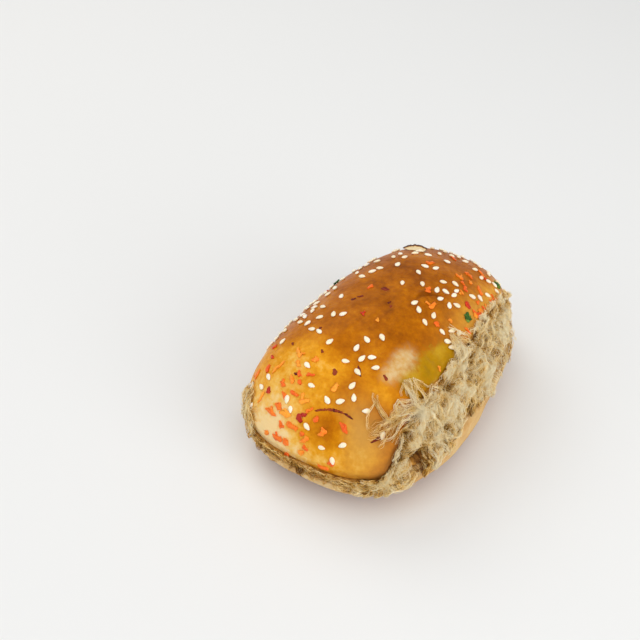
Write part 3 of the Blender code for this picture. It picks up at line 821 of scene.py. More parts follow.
# %% Where more seeds lie
# How likely a seed is to lie at a spot: a share everywhere, and drifts where the seeds gathered.
SESAME_EVERYWHERE = 0.16
SESAME_DRIFTS = (
    (8.5, 15.5, 7.5, 6.0, 1.00),
    (-12.0, 24.0, 10.0, 6.0, 0.60),
    (16.5, -1.5, 6.0, 6.0, 0.90),
    (17.0, 11.5, 5.0, 4.5, 0.80),
    (4.5, -30.0, 7.0, 6.0, 0.90),
    (-21.5, -26.0, 7.0, 6.0, 0.80),
    (10.0, -47.0, 4.0, 5.0, 0.80),
    (-8.0, -53.5, 7.0, 4.0, 1.00),
    (-21.5, -54.5, 5.0, 5.0, 0.90),
    (12.0, -61.0, 10.0, 3.0, 0.60),
    (-30.0, 0.0, 8.0, 40.0, 0.60),
    (5.0, 48.0, 18.0, 10.0, 0.70),
    (24.0, 25.0, 5.0, 15.0, 0.50),
    (-2.0, -10.0, 10.0, 14.0, -0.50),
    (21.0, -20.0, 9.0, 12.0, -0.60),
)


def crust_spot(azimuth, rise):
    """Foot point and outward normal of the crust at a pair of angles."""
    ideal = surface(np.array(azimuth), np.array(rise))
    foot, outward, _ = above_skin(ideal)
    return foot, outward


print("drifts of seeds:", len(SESAME_DRIFTS))

# %% More seeds
EXTRA_SEEDS = 50
for _ in range(6000):
    if len(seed_places) >= sum(b[0] == "sesame" for b in bits) + EXTRA_SEEDS:
        break
    spot_azimuth = chance.uniform(-math.pi, math.pi)
    lowest = float(crust_rim(spot_azimuth)) + 0.10
    rise = math.asin(chance.uniform(math.sin(lowest), 1.0))
    foot, outward = crust_spot(spot_azimuth, rise)
    if chance.random() > SESAME_EVERYWHERE + mounds(foot[0], foot[1], SESAME_DRIFTS):
        continue
    if any(np.linalg.norm(foot - other) < 2.5 * MM for other in seed_spots):
        continue
    if any(np.linalg.norm(foot - b[1]) < 3.0 * MM for b in bits if b[0] == "shred"):
        continue
    turn = chance.uniform(0, math.tau)
    aside = unit(np.cross(outward, np.array([0.3, 1.0, 0.1])))
    along = aside * math.cos(turn) + np.cross(outward, aside) * math.sin(turn)
    size = 3.0 * MM * chance.uniform(0.88, 1.05)
    seed_places.append((foot, outward, along, (size, size, size), 0.40 * MM))
    seed_spots.append(foot)
seed_tints = [chance.uniform(0.0, 0.45) for _ in seed_places]
sesame = scattered("sesame_seeds", [seed_points], seed_faces, seed_places, hull, seed_tints)
settle(sesame, "bun_top")

# %% [markdown]
# The carrot and herb bits are shreds pressed into the egg glaze before baking. A shred is a thin
# irregular slab with a slightly curled edge. One slab is modelled from a cube, subdivided, and uneven
# versions of it are copied in turn, so that no two neighbours look alike. Small dark slits and spots,
# where a shred or a bubble of glaze burnt, are made the same way but thinner and darker.

# %% Shred patterns
bpy.ops.object.select_all(action="DESELECT")
bpy.ops.mesh.primitive_cube_add(size=1.0)
slab = bpy.context.object
bpy.ops.object.mode_set(mode="EDIT")
bpy.ops.mesh.select_all(action="SELECT")
bpy.ops.mesh.subdivide(number_cuts=3, smoothness=0.6)
bpy.ops.object.mode_set(mode="OBJECT")
slab_points = np.array([v.co for v in slab.data.vertices])
slab_faces = [list(p.vertices) for p in slab.data.polygons]
bpy.data.objects.remove(slab, do_unlink=True)
slab_points /= np.abs(slab_points).max(axis=0) * 2


def shred_pattern(number, roughness, crinkle, curl):
    """An uneven slab: its torn outline wanders, its faces crinkle and its ends curl up a little."""
    offset = Vector((number * 7.3, number * 3.1, 0.0))
    shaped = slab_points.copy()
    for row in shaped:
        flat = Vector((row[0], row[1], 0.0))
        wander = [noise.noise(flat * 2.6 + offset + Vector((0.0, 0.0, depth))) for depth in (4.7, 9.3)]
        ripple = noise.noise(flat * 4.2 - offset)
        row[:2] += np.array(wander) * roughness * np.array([0.6, 1.0])
        row[2] = row[2] * (1.0 - 0.5 * np.hypot(*row[:2])) + crinkle * ripple
    shaped[:, 1] *= 1.0 - 0.55 * np.abs(shaped[:, 0]) ** 2 * 1.4
    shaped[:, 1] += 0.45 * (number % 3 - 1) * shaped[:, 0] ** 2
    shaped[:, 2] += curl * shaped[:, 0] ** 2
    return shaped


shred_patterns = [shred_pattern(number, 0.55, 0.10, 0.15) for number in range(6)]
leaf_patterns = [shred_pattern(number + 20, 0.75, 1.1, 0.6) for number in range(5)]
print("a shred has", len(slab_faces), "faces")

# %% [markdown]
# Baked carrot is moist and runs from orange to a dried dark red, herb from leaf green to nearly black,
# and scorched glaze is a matte dark brown. All three are soft food with a fine mottle, so one function
# makes them: a colour ramp read by each bit's own tint, a little relief and a weak coat for the glaze.

# %% Materials of the bits


def tinted_food(name, stops, roughness, coat, patch):
    """A moist food surface: a colour ramp read by each bit's own tint and a fine mottle."""
    material, tree, shader = new_material(name)
    tint = add_node(tree, "Attribute", {"attribute_name": "tint"}).outputs["Fac"]
    place = add_node(tree, "TexCoord").outputs["Object"]
    mottle = add_node(
        tree, "TexNoise", {}, {"Vector": place}, {"Scale": 1 / patch, "Detail": 3.0, "Roughness": 0.6}
    )
    total = add_node(
        tree, "Math", {"operation": "MULTIPLY_ADD"}, {0: mottle.outputs["Fac"], 2: tint}, {1: 0.6}
    )
    colour = add_node(tree, "ValToRGB", {}, {"Fac": total.outputs[0]})
    ramp_stops(colour, stops)
    tree.links.new(colour.outputs["Color"], shader.inputs["Base Color"])
    bump = add_node(
        tree, "Bump", {}, {"Height": mottle.outputs["Fac"]}, {"Strength": 0.5, "Distance": 0.0003}
    )
    tree.links.new(bump.outputs["Normal"], shader.inputs["Normal"])
    constants = {
        "Roughness": roughness,
        "Specular IOR Level": 0.3,
        "Coat Weight": coat,
        "Coat Roughness": 0.25,
    }
    set_sockets(shader, constants)
    return material


carrot = tinted_food(
    "baked_carrot_shred",
    ((0.10, "#FFA62B"), (0.35, "#FB7D12"), (0.65, "#F25E08"), (0.85, "#E03C06"), (1.0, "#B32206")),
    0.45,
    0.1,
    1.0 * MM,
)
herb = tinted_food(
    "baked_green_herb", ((0.2, "#7E9A34"), (0.45, "#447022"), (0.9, "#1F4312")), 0.5, 0.1, 1.1 * MM
)
scorch = tinted_food(
    "scorched_glaze",
    ((0.15, "#A8480C"), (0.40, "#842606"), (0.65, "#5A1203"), (0.9, "#330A02")),
    0.6,
    0.0,
    0.8 * MM,
)
print("bit materials:", carrot.name, herb.name, scorch.name)

# %% Carrot and herb where the solid has them
# The bits of the solid that are herb: those nearest these places in plan.
HERB_SPOTS = np.array([[25.0, 11.8], [21.6, 45.2], [-33.0, 8.0]]) * MM
EXTRA_CARROT = 32
chance = random.Random(77)
carrot_places, carrot_tints, herb_places = [], [], []


def turned(outward, along, degrees):
    """The direction along the skin, turned about its normal."""
    angle = math.radians(degrees)
    return along * math.cos(angle) + np.cross(outward, along) * math.sin(angle)


def lay_carrot(foot, outward, along, length, width):
    """A shred, and often a second broken piece across it, so that clumps are uneven."""
    tint = chance.uniform(-0.20, 0.36) + (0.45 if chance.random() < 0.12 else 0.0)
    carrot_places.append((foot, outward, along, (length, width, 0.75 * MM), 0.20 * MM))
    carrot_tints.append(tint)
    if chance.random() < 0.6:
        across = turned(outward, along, chance.uniform(35, 145))
        aside = foot + across * length * chance.uniform(0.2, 0.45)
        aside = aside + along * length * chance.uniform(-0.3, 0.3)
        size = (length * chance.uniform(0.45, 0.75), width * chance.uniform(0.6, 0.9), 0.6 * MM)
        carrot_places.append((aside, outward, across, size, 0.16 * MM))
        carrot_tints.append(tint + chance.uniform(-0.1, 0.1))


for kind, foot, outward, along, length, width in bits:
    if kind != "shred":
        continue
    if np.hypot(*(HERB_SPOTS - foot[:2]).T).min() < 2.0 * MM:
        for leaf in range(7):
            way = turned(outward, along, leaf * 51 + chance.uniform(-15, 15))
            spot = foot + way * chance.uniform(0.2, 1.1) * MM
            size = chance.uniform(1.9, 3.0) * MM
            sizes = (size, size * 0.6, 0.45 * MM)
            herb_places.append((spot, outward, way, sizes, chance.uniform(0.25, 0.6) * MM))
    else:
        lay_carrot(foot, outward, along, length * 1.3, min(width, 1.7 * MM) * 1.25)
print("shreds from the solid:", len(carrot_places), "herb leaves:", len(herb_places))

# %% Where more shreds lie
CARROT_EVERYWHERE = 0.01
CARROT_DRIFTS = (
    (-11.0, -57.0, 10.0, 6.0, 1.00),
    (-15.0, -48.0, 7.0, 5.0, 0.40),
    (22.0, 27.0, 4.0, 14.0, 0.35),
)
# Single shreds that stand out in the photograph: centre x and y, length and width in mm, and turn.
CARROT_SPOTS = (
    (26.6, 18.6, 5.2, 2.0, 1.25),
    (27.6, 7.4, 4.0, 1.3, 0.25),
    (15.4, 41.9, 5.4, 1.6, 2.6),
    (18.6, 40.6, 3.0, 1.4, 0.4),
    (12.6, 27.4, 3.6, 1.6, 0.1),
    (14.8, 33.0, 3.4, 1.4, 2.4),
    (-9.9, -58.8, 4.2, 2.5, 0.2),
    (-5.6, -60.8, 5.2, 1.9, -0.2),
    (-10.2, -63.6, 4.0, 2.3, 0.3),
    (-6.3, -65.0, 3.0, 2.0, 1.2),
    (0.3, -63.8, 2.8, 2.0, 0.4),
    (-16.0, -59.5, 4.8, 1.7, -0.2),
    (0.6, -61.8, 3.8, 1.8, 1.3),
    (-1.6, -55.7, 4.0, 1.5, 1.3),
    (-15.8, -52.4, 3.4, 1.5, -0.6),
    (-12.8, -55.2, 3.2, 1.3, -0.9),
    (9.9, -63.6, 4.0, 1.7, 0.6),
    (12.4, -62.4, 3.2, 1.8, 0.2),
)
print("single shreds:", len(CARROT_SPOTS))

# %% More shreds
wanted = sum(b[0] == "shred" for b in bits) + EXTRA_CARROT
taken = [b[1] for b in bits if b[0] == "shred"]
for x_mm, y_mm, length, width, turn in CARROT_SPOTS:
    spot_azimuth, rise = skin_angles(np.array([x_mm, y_mm]) * MM)
    foot, outward = crust_spot(float(spot_azimuth), float(rise))
    flat = np.array([math.cos(turn), math.sin(turn), 0.0])
    lay_carrot(foot, outward, unit(flat - outward * np.dot(flat, outward)), length * MM, width * MM)
    taken.append(foot)
for _ in range(6000):
    if len(taken) >= wanted:
        break
    spot_azimuth = chance.uniform(-math.pi, math.pi)
    lowest = float(crust_rim(spot_azimuth)) + 0.06
    rise = math.asin(chance.uniform(math.sin(lowest), 1.0))
    foot, outward = crust_spot(spot_azimuth, rise)
    if chance.random() > CARROT_EVERYWHERE + mounds(foot[0], foot[1], CARROT_DRIFTS):
        continue
    if any(np.linalg.norm(foot - other) < 2.3 * MM for other in taken + seed_spots):
        continue
    aside = unit(np.cross(outward, np.array([0.3, 1.0, 0.1])))
    size = chance.uniform(1.4, 3.4) * MM
    way = turned(outward, aside, chance.uniform(0, 180))
    lay_carrot(foot, outward, way, size, chance.uniform(1.0, 1.6) * MM)
    taken.append(foot)
carrots = scattered("carrot_shreds", shred_patterns, slab_faces, carrot_places, carrot, carrot_tints)
settle(carrots, "bun_top")
herb_tints = [chance.uniform(-0.1, 0.5) for _ in herb_places]
herbs = scattered("herb_bits", leaf_patterns, slab_faces, herb_places, herb, herb_tints)
settle(herbs, "bun_top")

# %% Burnt marks
mark_places, mark_tints = [], []


def lay_mark(x_mm, y_mm, way, length, width, tint):
    """A thin scorched fleck at a spot of the crust; way is its direction in plan."""
    spot_azimuth, rise = skin_angles(np.array([x_mm, y_mm]) * MM)
    foot, outward = crust_spot(float(spot_azimuth), float(rise))
    flat = np.array([way[0], way[1], 0.0])
    along = unit(flat - outward * np.dot(flat, outward))
    mark_places.append((foot, outward, along, (length * MM, width * MM, 0.34 * MM), 0.07 * MM))
    mark_tints.append(tint)


for x_mm, y_mm, length, width, turn in BURNT_DOTS:
    lay_mark(x_mm, y_mm, (math.cos(turn), math.sin(turn)), length, width, chance.uniform(0.0, 0.35))
for slit in SLITS:
    for step in range(SLIT_STEPS + 1):
        t = step / SLIT_STEPS
        x_mm, y_mm = slit_point(slit, t)
        ahead_x, ahead_y = slit_point(slit, t + 0.02)
        wide = 0.5 + 0.5 * math.sin(math.pi * t) * chance.uniform(0.6, 1.3)
        lay_mark(x_mm, y_mm, (ahead_x - x_mm, ahead_y - y_mm), 1.9, wide, chance.uniform(-0.1, 0.4))
marks = scattered("burnt_marks", shred_patterns, slab_faces, mark_places, scorch, mark_tints)
settle(marks, "bun_top")

# %% [markdown]
# Near the back a bubble of the skin burst in the oven and its edge curled up. It left a dry pale patch
# and a thin dark flake behind it. The flake is a strip whose far edge is lifted off the crust.

# %% The lifted flake
FLAKE_FRONT = np.array([[-14.5, 34.5], [-11.5, 34.8], [-8.2, 34.5]]) * MM
FLAKE_EDGE = np.array([[-18.2, 36.0], [-16.0, 41.5], [-8.3, 38.3]]) * MM
FLAKE_LIFT = 1.8 * MM
FLAKE_THICK = 0.30 * MM
FLAKE_FOOT = 0.12 * MM
FLAKE_ALONG, FLAKE_ACROSS = 25, 9
flake_sides = []
for under in (0, 1):
    for step in range(FLAKE_ALONG):
        t = step / (FLAKE_ALONG - 1)
        bows = [
            line[0] * (1 - t) ** 2 + 2 * line[1] * t * (1 - t) + line[2] * t**2
            for line in (FLAKE_FRONT, FLAKE_EDGE)
        ]
        for stride in range(FLAKE_ACROSS):
            u = stride / (FLAKE_ACROSS - 1)
            spot = bows[0] * (1 - u) + bows[1] * u
            spot_azimuth, rise = skin_angles(spot)
            foot, outward = crust_spot(float(spot_azimuth), float(rise))
            torn = 0.8 + 0.25 * noise.noise(Vector((step * 0.45, 3.0, 1.0)))
            arch = math.sin(math.pi * (0.08 + 0.84 * t)) ** 0.6
            high = FLAKE_LIFT * u**1.6 * arch * torn + FLAKE_FOOT
            flake_sides.append(foot + outward * (high + (0.0 if under else FLAKE_THICK)))
print("flake points:", len(flake_sides))

# %% Faces and colour of the flake
whole = FLAKE_ALONG * FLAKE_ACROSS
flake_faces = []
for step in range(FLAKE_ALONG - 1):
    for stride in range(FLAKE_ACROSS - 1):
        first = step * FLAKE_ACROSS + stride
        square = [first, first + FLAKE_ACROSS, first + FLAKE_ACROSS + 1, first + 1]
        flake_faces.append(square)
        flake_faces.append([whole + v for v in reversed(square)])
ring = [k * FLAKE_ACROSS for k in range(FLAKE_ALONG)]
ring += [(FLAKE_ALONG - 1) * FLAKE_ACROSS + k for k in range(1, FLAKE_ACROSS)]
ring += [k * FLAKE_ACROSS + FLAKE_ACROSS - 1 for k in range(FLAKE_ALONG - 2, -1, -1)]
ring += [k for k in range(FLAKE_ACROSS - 2, 0, -1)]
for here, there in zip(ring, ring[1:] + ring[:1]):
    flake_faces.append([there, here, whole + here, whole + there])
flake_skin = tinted_food(
    "curled_glaze_flake",
    ((0.2, "#F2DCAE"), (0.50, "#E3B878"), (0.72, "#9A5A14"), (0.95, "#4A2408")),
    0.55,
    0.0,
    1.2 * MM,
)
row = np.tile(np.linspace(0, 1, FLAKE_ACROSS), 2 * FLAKE_ALONG)
# Painted shade: the underside of the flake is tinted darker than its top.
underside_shade = np.repeat([0.0, 0.5], FLAKE_ALONG * FLAKE_ACROSS)
flake_tints = -0.1 + np.maximum(0.85 * smooth_step(0.55, 0.95, row), underside_shade)
flake = mesh_from("lifted_flake", flake_sides, flake_faces, flake_skin, flake_tints)
settle(flake, "bun_top")

# %% [markdown]
# The base is the bottom half of the roll. Its skin baked against the tray and the neighbouring rolls,
# so it is matte and tan, paler where it was torn from them. The same start is used as for the crust:
# a sphere whose rings become the flat underside, the rounded side and the roof under the floss.

# %% The base
BASE_TURNS, BASE_RINGS = 220, 90
ROOF_PART, SOLE_PART = 0.28, 0.36
base, azimuth, descent = start_ball("bread_base", BASE_TURNS, BASE_RINGS)
rim = base_rim(azimuth)
rim_point = surface(azimuth, rim)
roof_share = np.clip(descent / ROOF_PART, 0, 1)
side_share = np.clip((descent - ROOF_PART) / (1 - ROOF_PART - SOLE_PART), 0, 1)
sole_share = np.clip((1 - descent) / SOLE_PART, 0, 1)
roof_x, roof_y = rim_point[:, 0] * roof_share, rim_point[:, 1] * roof_share
roof = np.stack([roof_x, roof_y, base_roof(roof_x, roof_y)], -1)
side_angle = rim + (FOOT_ANGLE - rim) * side_share
side = surface(azimuth, side_angle)
sole = surface(azimuth, np.full(len(azimuth), FOOT_ANGLE)) * sole_share[:, None]
sole[:, 2] = 0.0
on_roof = descent < ROOF_PART
on_side = descent <= 1 - SOLE_PART
base_points = np.where(on_roof[:, None], roof, np.where(on_side[:, None], side, sole))
outward = surface_normal(azimuth, side_angle)
rough = noise_over(base_points, np.array([6.0, 6.0, 3.5]) * MM)
fine = noise_over(base_points, 1.5 * MM)
crumb_relief = np.sin(math.pi * side_share) * (0.30 * rough + 0.12 * fine)
towards_opening = np.exp(-(((np.degrees(azimuth) + 17.0) / 24.0) ** 4))
pressed = 1.3 * towards_opening * smooth_step(1.0, 0.4, side_share) * (descent >= ROOF_PART)
base_points = base_points + outward * ((crumb_relief + pressed) * MM)[:, None]
print("base points:", len(base_points))

# %% [markdown]
# The side of a soft roll never gets glazed. It is matte crumb skin, cream where it was torn from the
# next roll and tan near the tray, with pores about a millimetre apart that only a bump has to show.

# %% Soft bread skin
soft_skin, tree, shader = new_material("soft_baked_bread_side")
place = add_node(tree, "TexCoord").outputs["Object"]
broad = add_node(
    tree, "TexNoise", {}, {"Vector": place}, {"Scale": 1 / (9 * MM), "Detail": 5.0, "Roughness": 0.6}
)
height = add_node(tree, "SeparateXYZ", {}, {"Vector": place})
tanned = add_node(
    tree,
    "MapRange",
    {"interpolation_type": "SMOOTHSTEP"},
    {"Value": height.outputs["Z"]},
    {"From Min": 0.0005, "From Max": 0.012, "To Min": 0.42, "To Max": 0.0},
)
tan_sum = add_node(
    tree,
    "Math",
    {"operation": "MULTIPLY_ADD"},
    {0: broad.outputs["Fac"], 2: tanned.outputs["Result"]},
    {1: 0.7},
)
bread_colour = add_node(tree, "ValToRGB", {}, {"Fac": tan_sum.outputs[0]})
ramp_stops(bread_colour, ((0.20, "#EBCF98"), (0.36, "#DDB270"), (0.52, "#C98F48"), (0.80, "#A4652A")))
tree.links.new(bread_colour.outputs["Color"], shader.inputs["Base Color"])
crumb = add_node(
    tree, "TexNoise", {}, {"Vector": place}, {"Scale": 1 / (0.8 * MM), "Detail": 4.0, "Roughness": 0.65}
)
crumb_bump = add_node(
    tree, "Bump", {}, {"Height": crumb.outputs["Fac"]}, {"Strength": 0.8, "Distance": 0.0006}
)
tree.links.new(crumb_bump.outputs["Normal"], shader.inputs["Normal"])
constants = {
    "Roughness": 0.72,
    "Subsurface Weight": 0.15,
    "Subsurface Radius": (1.0, 0.6, 0.3),
    "Subsurface Scale": 0.002,
}
set_sockets(shader, constants)
reshape_ball(base, base_points, soft_skin)
settle(base, "bun_base")

# %% [markdown]
# Pork floss is a tangle of dry meat fibres, a tenth to a third of a millimetre thick. Modelling the
# whole bulk of it would be wasted work, so there is a lumpy core with the colour of deep shade, and
# only the outer layers are real fibres. They come in locks, bundles that share one winding path, with
# some single frizzy ones between, because combed or evenly random fibres look like hair or straw.
# Core and fibres must agree on the lumps, so their height over the bun's form is one function.

# %% The lumps of the floss
LUMP_TURNS = np.linspace(-math.pi, math.pi, 361)
LUMP_SHARES = np.linspace(0.0, 1.0, 41)
# Hollows between the tufts, which the tints also paint darker as shade: centre x, y and z, radius and depth
# in mm.
RECESSES = (
    (36.8, -41.4, 23.4, 3.6, 3.0),
    (31.9, -49.1, 27.4, 3.2, 3.0),
    (31.4, -44.3, 34.0, 2.8, 2.6),
    (36.8, -38.8, 28.0, 2.0, 1.8),
    (39.6, -9.5, 27.0, 3.0, 2.2),
    (34.6, -15.4, 38.8, 2.2, 1.8),
    (33.5, 2.8, 40.0, 2.4, 1.8),
    (32.7, 8.3, 40.5, 2.8, 2.2),
    (32.1, 15.2, 40.3, 2.6, 1.8),
    (35.2, 12.7, 35.9, 2.6, 1.6),
    (38.5, -26.0, 27.0, 2.2, 1.8),
    (38.4, 6.0, 33.0, 2.4, 1.6),
    (39.0, 20.0, 30.0, 2.4, 1.6),
)
turn_grid, share_grid = np.meshgrid(LUMP_TURNS, LUMP_SHARES, indexing="ij")
rise_grid = base_rim(turn_grid) + (crust_rim(turn_grid) - base_rim(turn_grid)) * share_grid
lump_spots = surface(turn_grid, rise_grid)
open_share = lift(lump_spots[..., 0], lump_spots[..., 1])
lumps = noise_over(lump_spots, 7.0 * MM, 0.0) + 0.7 * noise_over(lump_spots, 3.0 * MM, 5.0)
hollow = np.zeros(turn_grid.shape)
# Recess says how far a spot lies in a hollow; the tints use it as painted shade.
recess = np.zeros(turn_grid.shape)
for spot_x, spot_y, spot_z, radius, depth in RECESSES:
    away = np.linalg.norm(lump_spots / MM - np.array([spot_x, spot_y, spot_z]), axis=-1)
    near = np.exp(-((away / radius) ** 2))
    hollow = hollow + depth * near
    recess = np.maximum(recess, near * min(1.0, depth / 2.2))
bread_bulge = np.exp(-(((np.degrees(turn_grid) + 17.0) / 22.0) ** 4)) * smooth_step(0.5, 0.1, share_grid)
bulk_table = -(0.9 + 1.6 * open_share) + lumps * (0.5 + 2.4 * open_share) * (1 - 0.7 * bread_bulge)
bulk_table = (bulk_table - hollow + 2.0 * bread_bulge) * MM
flow_table = 1.5 * math.pi * noise_over(lump_spots, 15.0 * MM, 11.0)


def from_grid(table, azimuth, share):
    """The entry of a table of the floss for a direction and a share of the way up."""
    u = (np.mod(azimuth + math.pi, math.tau) / math.tau) * (len(LUMP_TURNS) - 1)
    return read_table(table, u, np.clip(share, 0.0, 1.0) * (len(LUMP_SHARES) - 1))


def share_of(azimuth, rise):
    """0 at the base's rim and 1 at the crust's rim; past them it goes on below 0 and above 1."""
    upper, lower = crust_rim(azimuth), base_rim(azimuth)
    return (rise - lower) / (upper - lower)


print("floss lies", np.round([bulk_table.min() / MM, bulk_table.max() / MM], 1), "mm off the form")

# %% [markdown]
# Dry cooked meat fibre is rough and has no gloss. It is cream where it is thick and golden where it was
# toasted, and painted shade turns it brown in the depth between the tufts. The tint of each fibre and a
# clump noise of a few millimetres pick the colour, because neighbouring fibres of one muscle bundle have
# much the same one, and the tint also carries that painted shade and light.

# %% Dry meat fibre


def fibre_material(name, stops, patch):
    """Dry cooked meat fibre: pale and rough, toasted to gold, with painted shade and light in its tint."""
    material, tree, shader = new_material(name)
    tint = add_node(tree, "Attribute", {"attribute_name": "tint"}).outputs["Fac"]
    place = add_node(tree, "TexCoord").outputs["Object"]
    clump = add_node(
        tree, "TexNoise", {}, {"Vector": place}, {"Scale": 1 / patch, "Detail": 3.0, "Roughness": 0.6}
    )
    spread = add_node(
        tree, "Math", {"operation": "MULTIPLY_ADD"}, {0: clump.outputs["Fac"], 2: tint}, {1: 1.5}
    )
    total = add_node(tree, "Math", {"operation": "SUBTRACT"}, {0: spread.outputs[0]}, {1: 0.3})
    colour = add_node(tree, "ValToRGB", {}, {"Fac": total.outputs[0]})
    ramp_stops(colour, stops)
    tree.links.new(colour.outputs["Color"], shader.inputs["Base Color"])
    set_sockets(shader, {"Roughness": 0.75, "Specular IOR Level": 0.25})
    return material


pale_fibre = fibre_material(
    "dry_pork_fibre",
    (
        (0.0, "#70400E"),
        (0.16, "#B0741E"),
        (0.32, "#E4B04E"),
        (0.50, "#FBD98E"),
        (0.74, "#FFE7AE"),
        (1.0, "#FFF1CC"),
    ),
    4.5 * MM,
)
# The core's browns are partly painted shade, the deep shade seen between the fibres.
deep_fibre = fibre_material(
    "toasted_and_shaded_pork_fibre",
    ((0.12, "#5A340A"), (0.36, "#A06A22"), (0.62, "#CE9440"), (0.95, "#E6BC72")),
    3.0 * MM,
)
print("fibre materials:", pale_fibre.name, deep_fibre.name)

# %% [markdown]
# The core fills the slit from crust to base. It is made from a sphere as they are: rings near the poles
# lie against the two sheets, and the rings between them take the lumps and hollows of the table. What is
# seen between the fibres is brown, a painted shade that is darker still in the hollows, and pale at the
# foot where bread shows.

# %% The core under the fibres
CORE_TURNS, CORE_RINGS = 260, 110
GAP = 0.45 * MM
SETBACK = 0.965
TOP_PART, LOW_PART = 0.2, 0.2
core, azimuth, descent = start_ball("floss_core", CORE_TURNS, CORE_RINGS)
upper, lower = crust_rim(azimuth), base_rim(azimuth)


def sheet(rim_point, share, level, gap):
    """The part of the core that lies against the crust's floor or the base's roof."""
    x, y = rim_point[:, 0] * share * SETBACK, rim_point[:, 1] * share * SETBACK
    return np.stack([x, y, level(x, y) + gap], -1)


upper_point, lower_point = surface(azimuth, upper), surface(azimuth, lower)
band_share = np.clip((descent - TOP_PART) / (1 - TOP_PART - LOW_PART), 0, 1)
top = sheet(upper_point, np.clip(descent / TOP_PART, 0, 1), crust_floor, -GAP)
low = sheet(lower_point, np.clip((1 - descent) / LOW_PART, 0, 1), base_roof, GAP)
top_edge = sheet(upper_point, 1.0, crust_floor, -GAP)
low_edge = sheet(lower_point, 1.0, base_roof, GAP)
band_angle = upper + (lower - upper) * band_share
bulge = surface(azimuth, band_angle)
bulge = bulge + surface_normal(azimuth, band_angle) * from_grid(bulk_table, azimuth, 1 - band_share)[:, None]
edge = top_edge + (low_edge - top_edge) * band_share[:, None]
blend = smooth_step(0.0, 0.18, band_share) * smooth_step(1.0, 0.82, band_share)
middle = edge + (bulge - edge) * blend[:, None]
in_band = (descent >= TOP_PART) & (descent <= 1 - LOW_PART)
core_points = np.where(in_band[:, None], middle, np.where((descent < TOP_PART)[:, None], top, low))
reshape_ball(core, core_points, deep_fibre)
# Painted shade: the core is tinted darker in the hollows between the tufts.
hollow_shade = from_grid(recess, azimuth, 1 - band_share)
bread_side = smooth_step(0.70, 0.92, band_share) * (1 - hollow_shade)
set_attribute(core, "tint", 0.35 * bread_side - 0.45 * hollow_shade)
settle(core, "pork_floss")

# %% [markdown]
# A lock of floss is grown rather than drawn: it starts at a point, takes short steps over the surface,
# and at each step turns a little by chance and a little towards the flow of its neighbours. Blender's
# own hair system would be quicker, but its strands aren't meshes and would be lost in the export.

# %% Winding paths over the floss
draw = np.random.default_rng(5150)


def step_sizes(azimuth, rise):
    """How far the surface moves for a small change of each angle."""
    small = 0.003
    round_way = surface(azimuth + small, rise) - surface(azimuth - small, rise)
    up_way = surface(azimuth, rise + small) - surface(azimuth, rise - small)
    return np.linalg.norm(round_way, axis=-1) / (2 * small), np.linalg.norm(up_way, axis=-1) / (2 * small)


def bare_bread(azimuth):
    """How far the smooth bread reaches up over the base's rim, in radians."""
    return 0.10 * np.exp(-(((np.degrees(azimuth) + 15.0) / 15.0) ** 4))


def crust_reach(azimuth):
    """How far fibres may lie over the lip: far at the front, hardly at the moist patch."""
    turn = np.degrees(np.mod(azimuth + math.pi, math.tau) - math.pi)
    front = np.clip(-42.0 - turn, 0, 60)
    return 0.04 + 0.020 * front + 0.0002 * front**2 + 0.08 * np.clip(turn + 12.0, 0, 12)


def winding(azimuth, rise, heading, step, turn, follow, points, lowest, highest):
    """Paths that wander over the surface and partly follow the flow of the floss."""
    azimuths, rises = [azimuth], [rise]
    for _ in range(points - 1):
        round_way, up_way = step_sizes(azimuth, rise)
        azimuth = azimuth + step * np.cos(heading) / round_way
        rise = rise + step * np.sin(heading) / up_way
        low = base_rim(azimuth) + lowest + bare_bread(azimuth)
        high = crust_rim(azimuth) + np.minimum(highest, crust_reach(azimuth))
        outside = (rise < low) | (rise > high)
        rise = np.clip(rise, low, high)
        flow = from_grid(flow_table, azimuth, share_of(azimuth, rise))
        swing = np.mod(flow - heading + math.pi / 2, math.pi) - math.pi / 2
        heading = heading + follow * swing + draw.normal(0, turn, heading.shape)
        heading = np.where(outside, -heading * 0.5, heading)
        azimuths.append(azimuth)
        rises.append(rise)
    return np.stack(azimuths, -1), np.stack(rises, -1)


front_reach = float(crust_reach(math.radians(-75)))
print("at the front, fibres may go", round(front_reach, 2), "radians over the lip")

# %% [markdown]
# A path is the middle of a lock. Its fibres wind round it like the strands of a loose rope, open out
# at the ends and have waves of their own, but none goes under the bread or the core it lies on.

# %% Fibres round a path


def bed_height(azimuth, rise):
    """The lowest a fibre may lie: on the core between the rims, and on top of crust and base."""
    share = share_of(azimuth, rise)
    on_bread = np.clip(smooth_step(0.90, 1.0, share) + smooth_step(0.08, 0.0, share), 0, 1)
    between = from_grid(bulk_table, azimuth, share) + 0.10 * MM
    return between * (1 - on_bread) + 0.32 * MM * on_bread


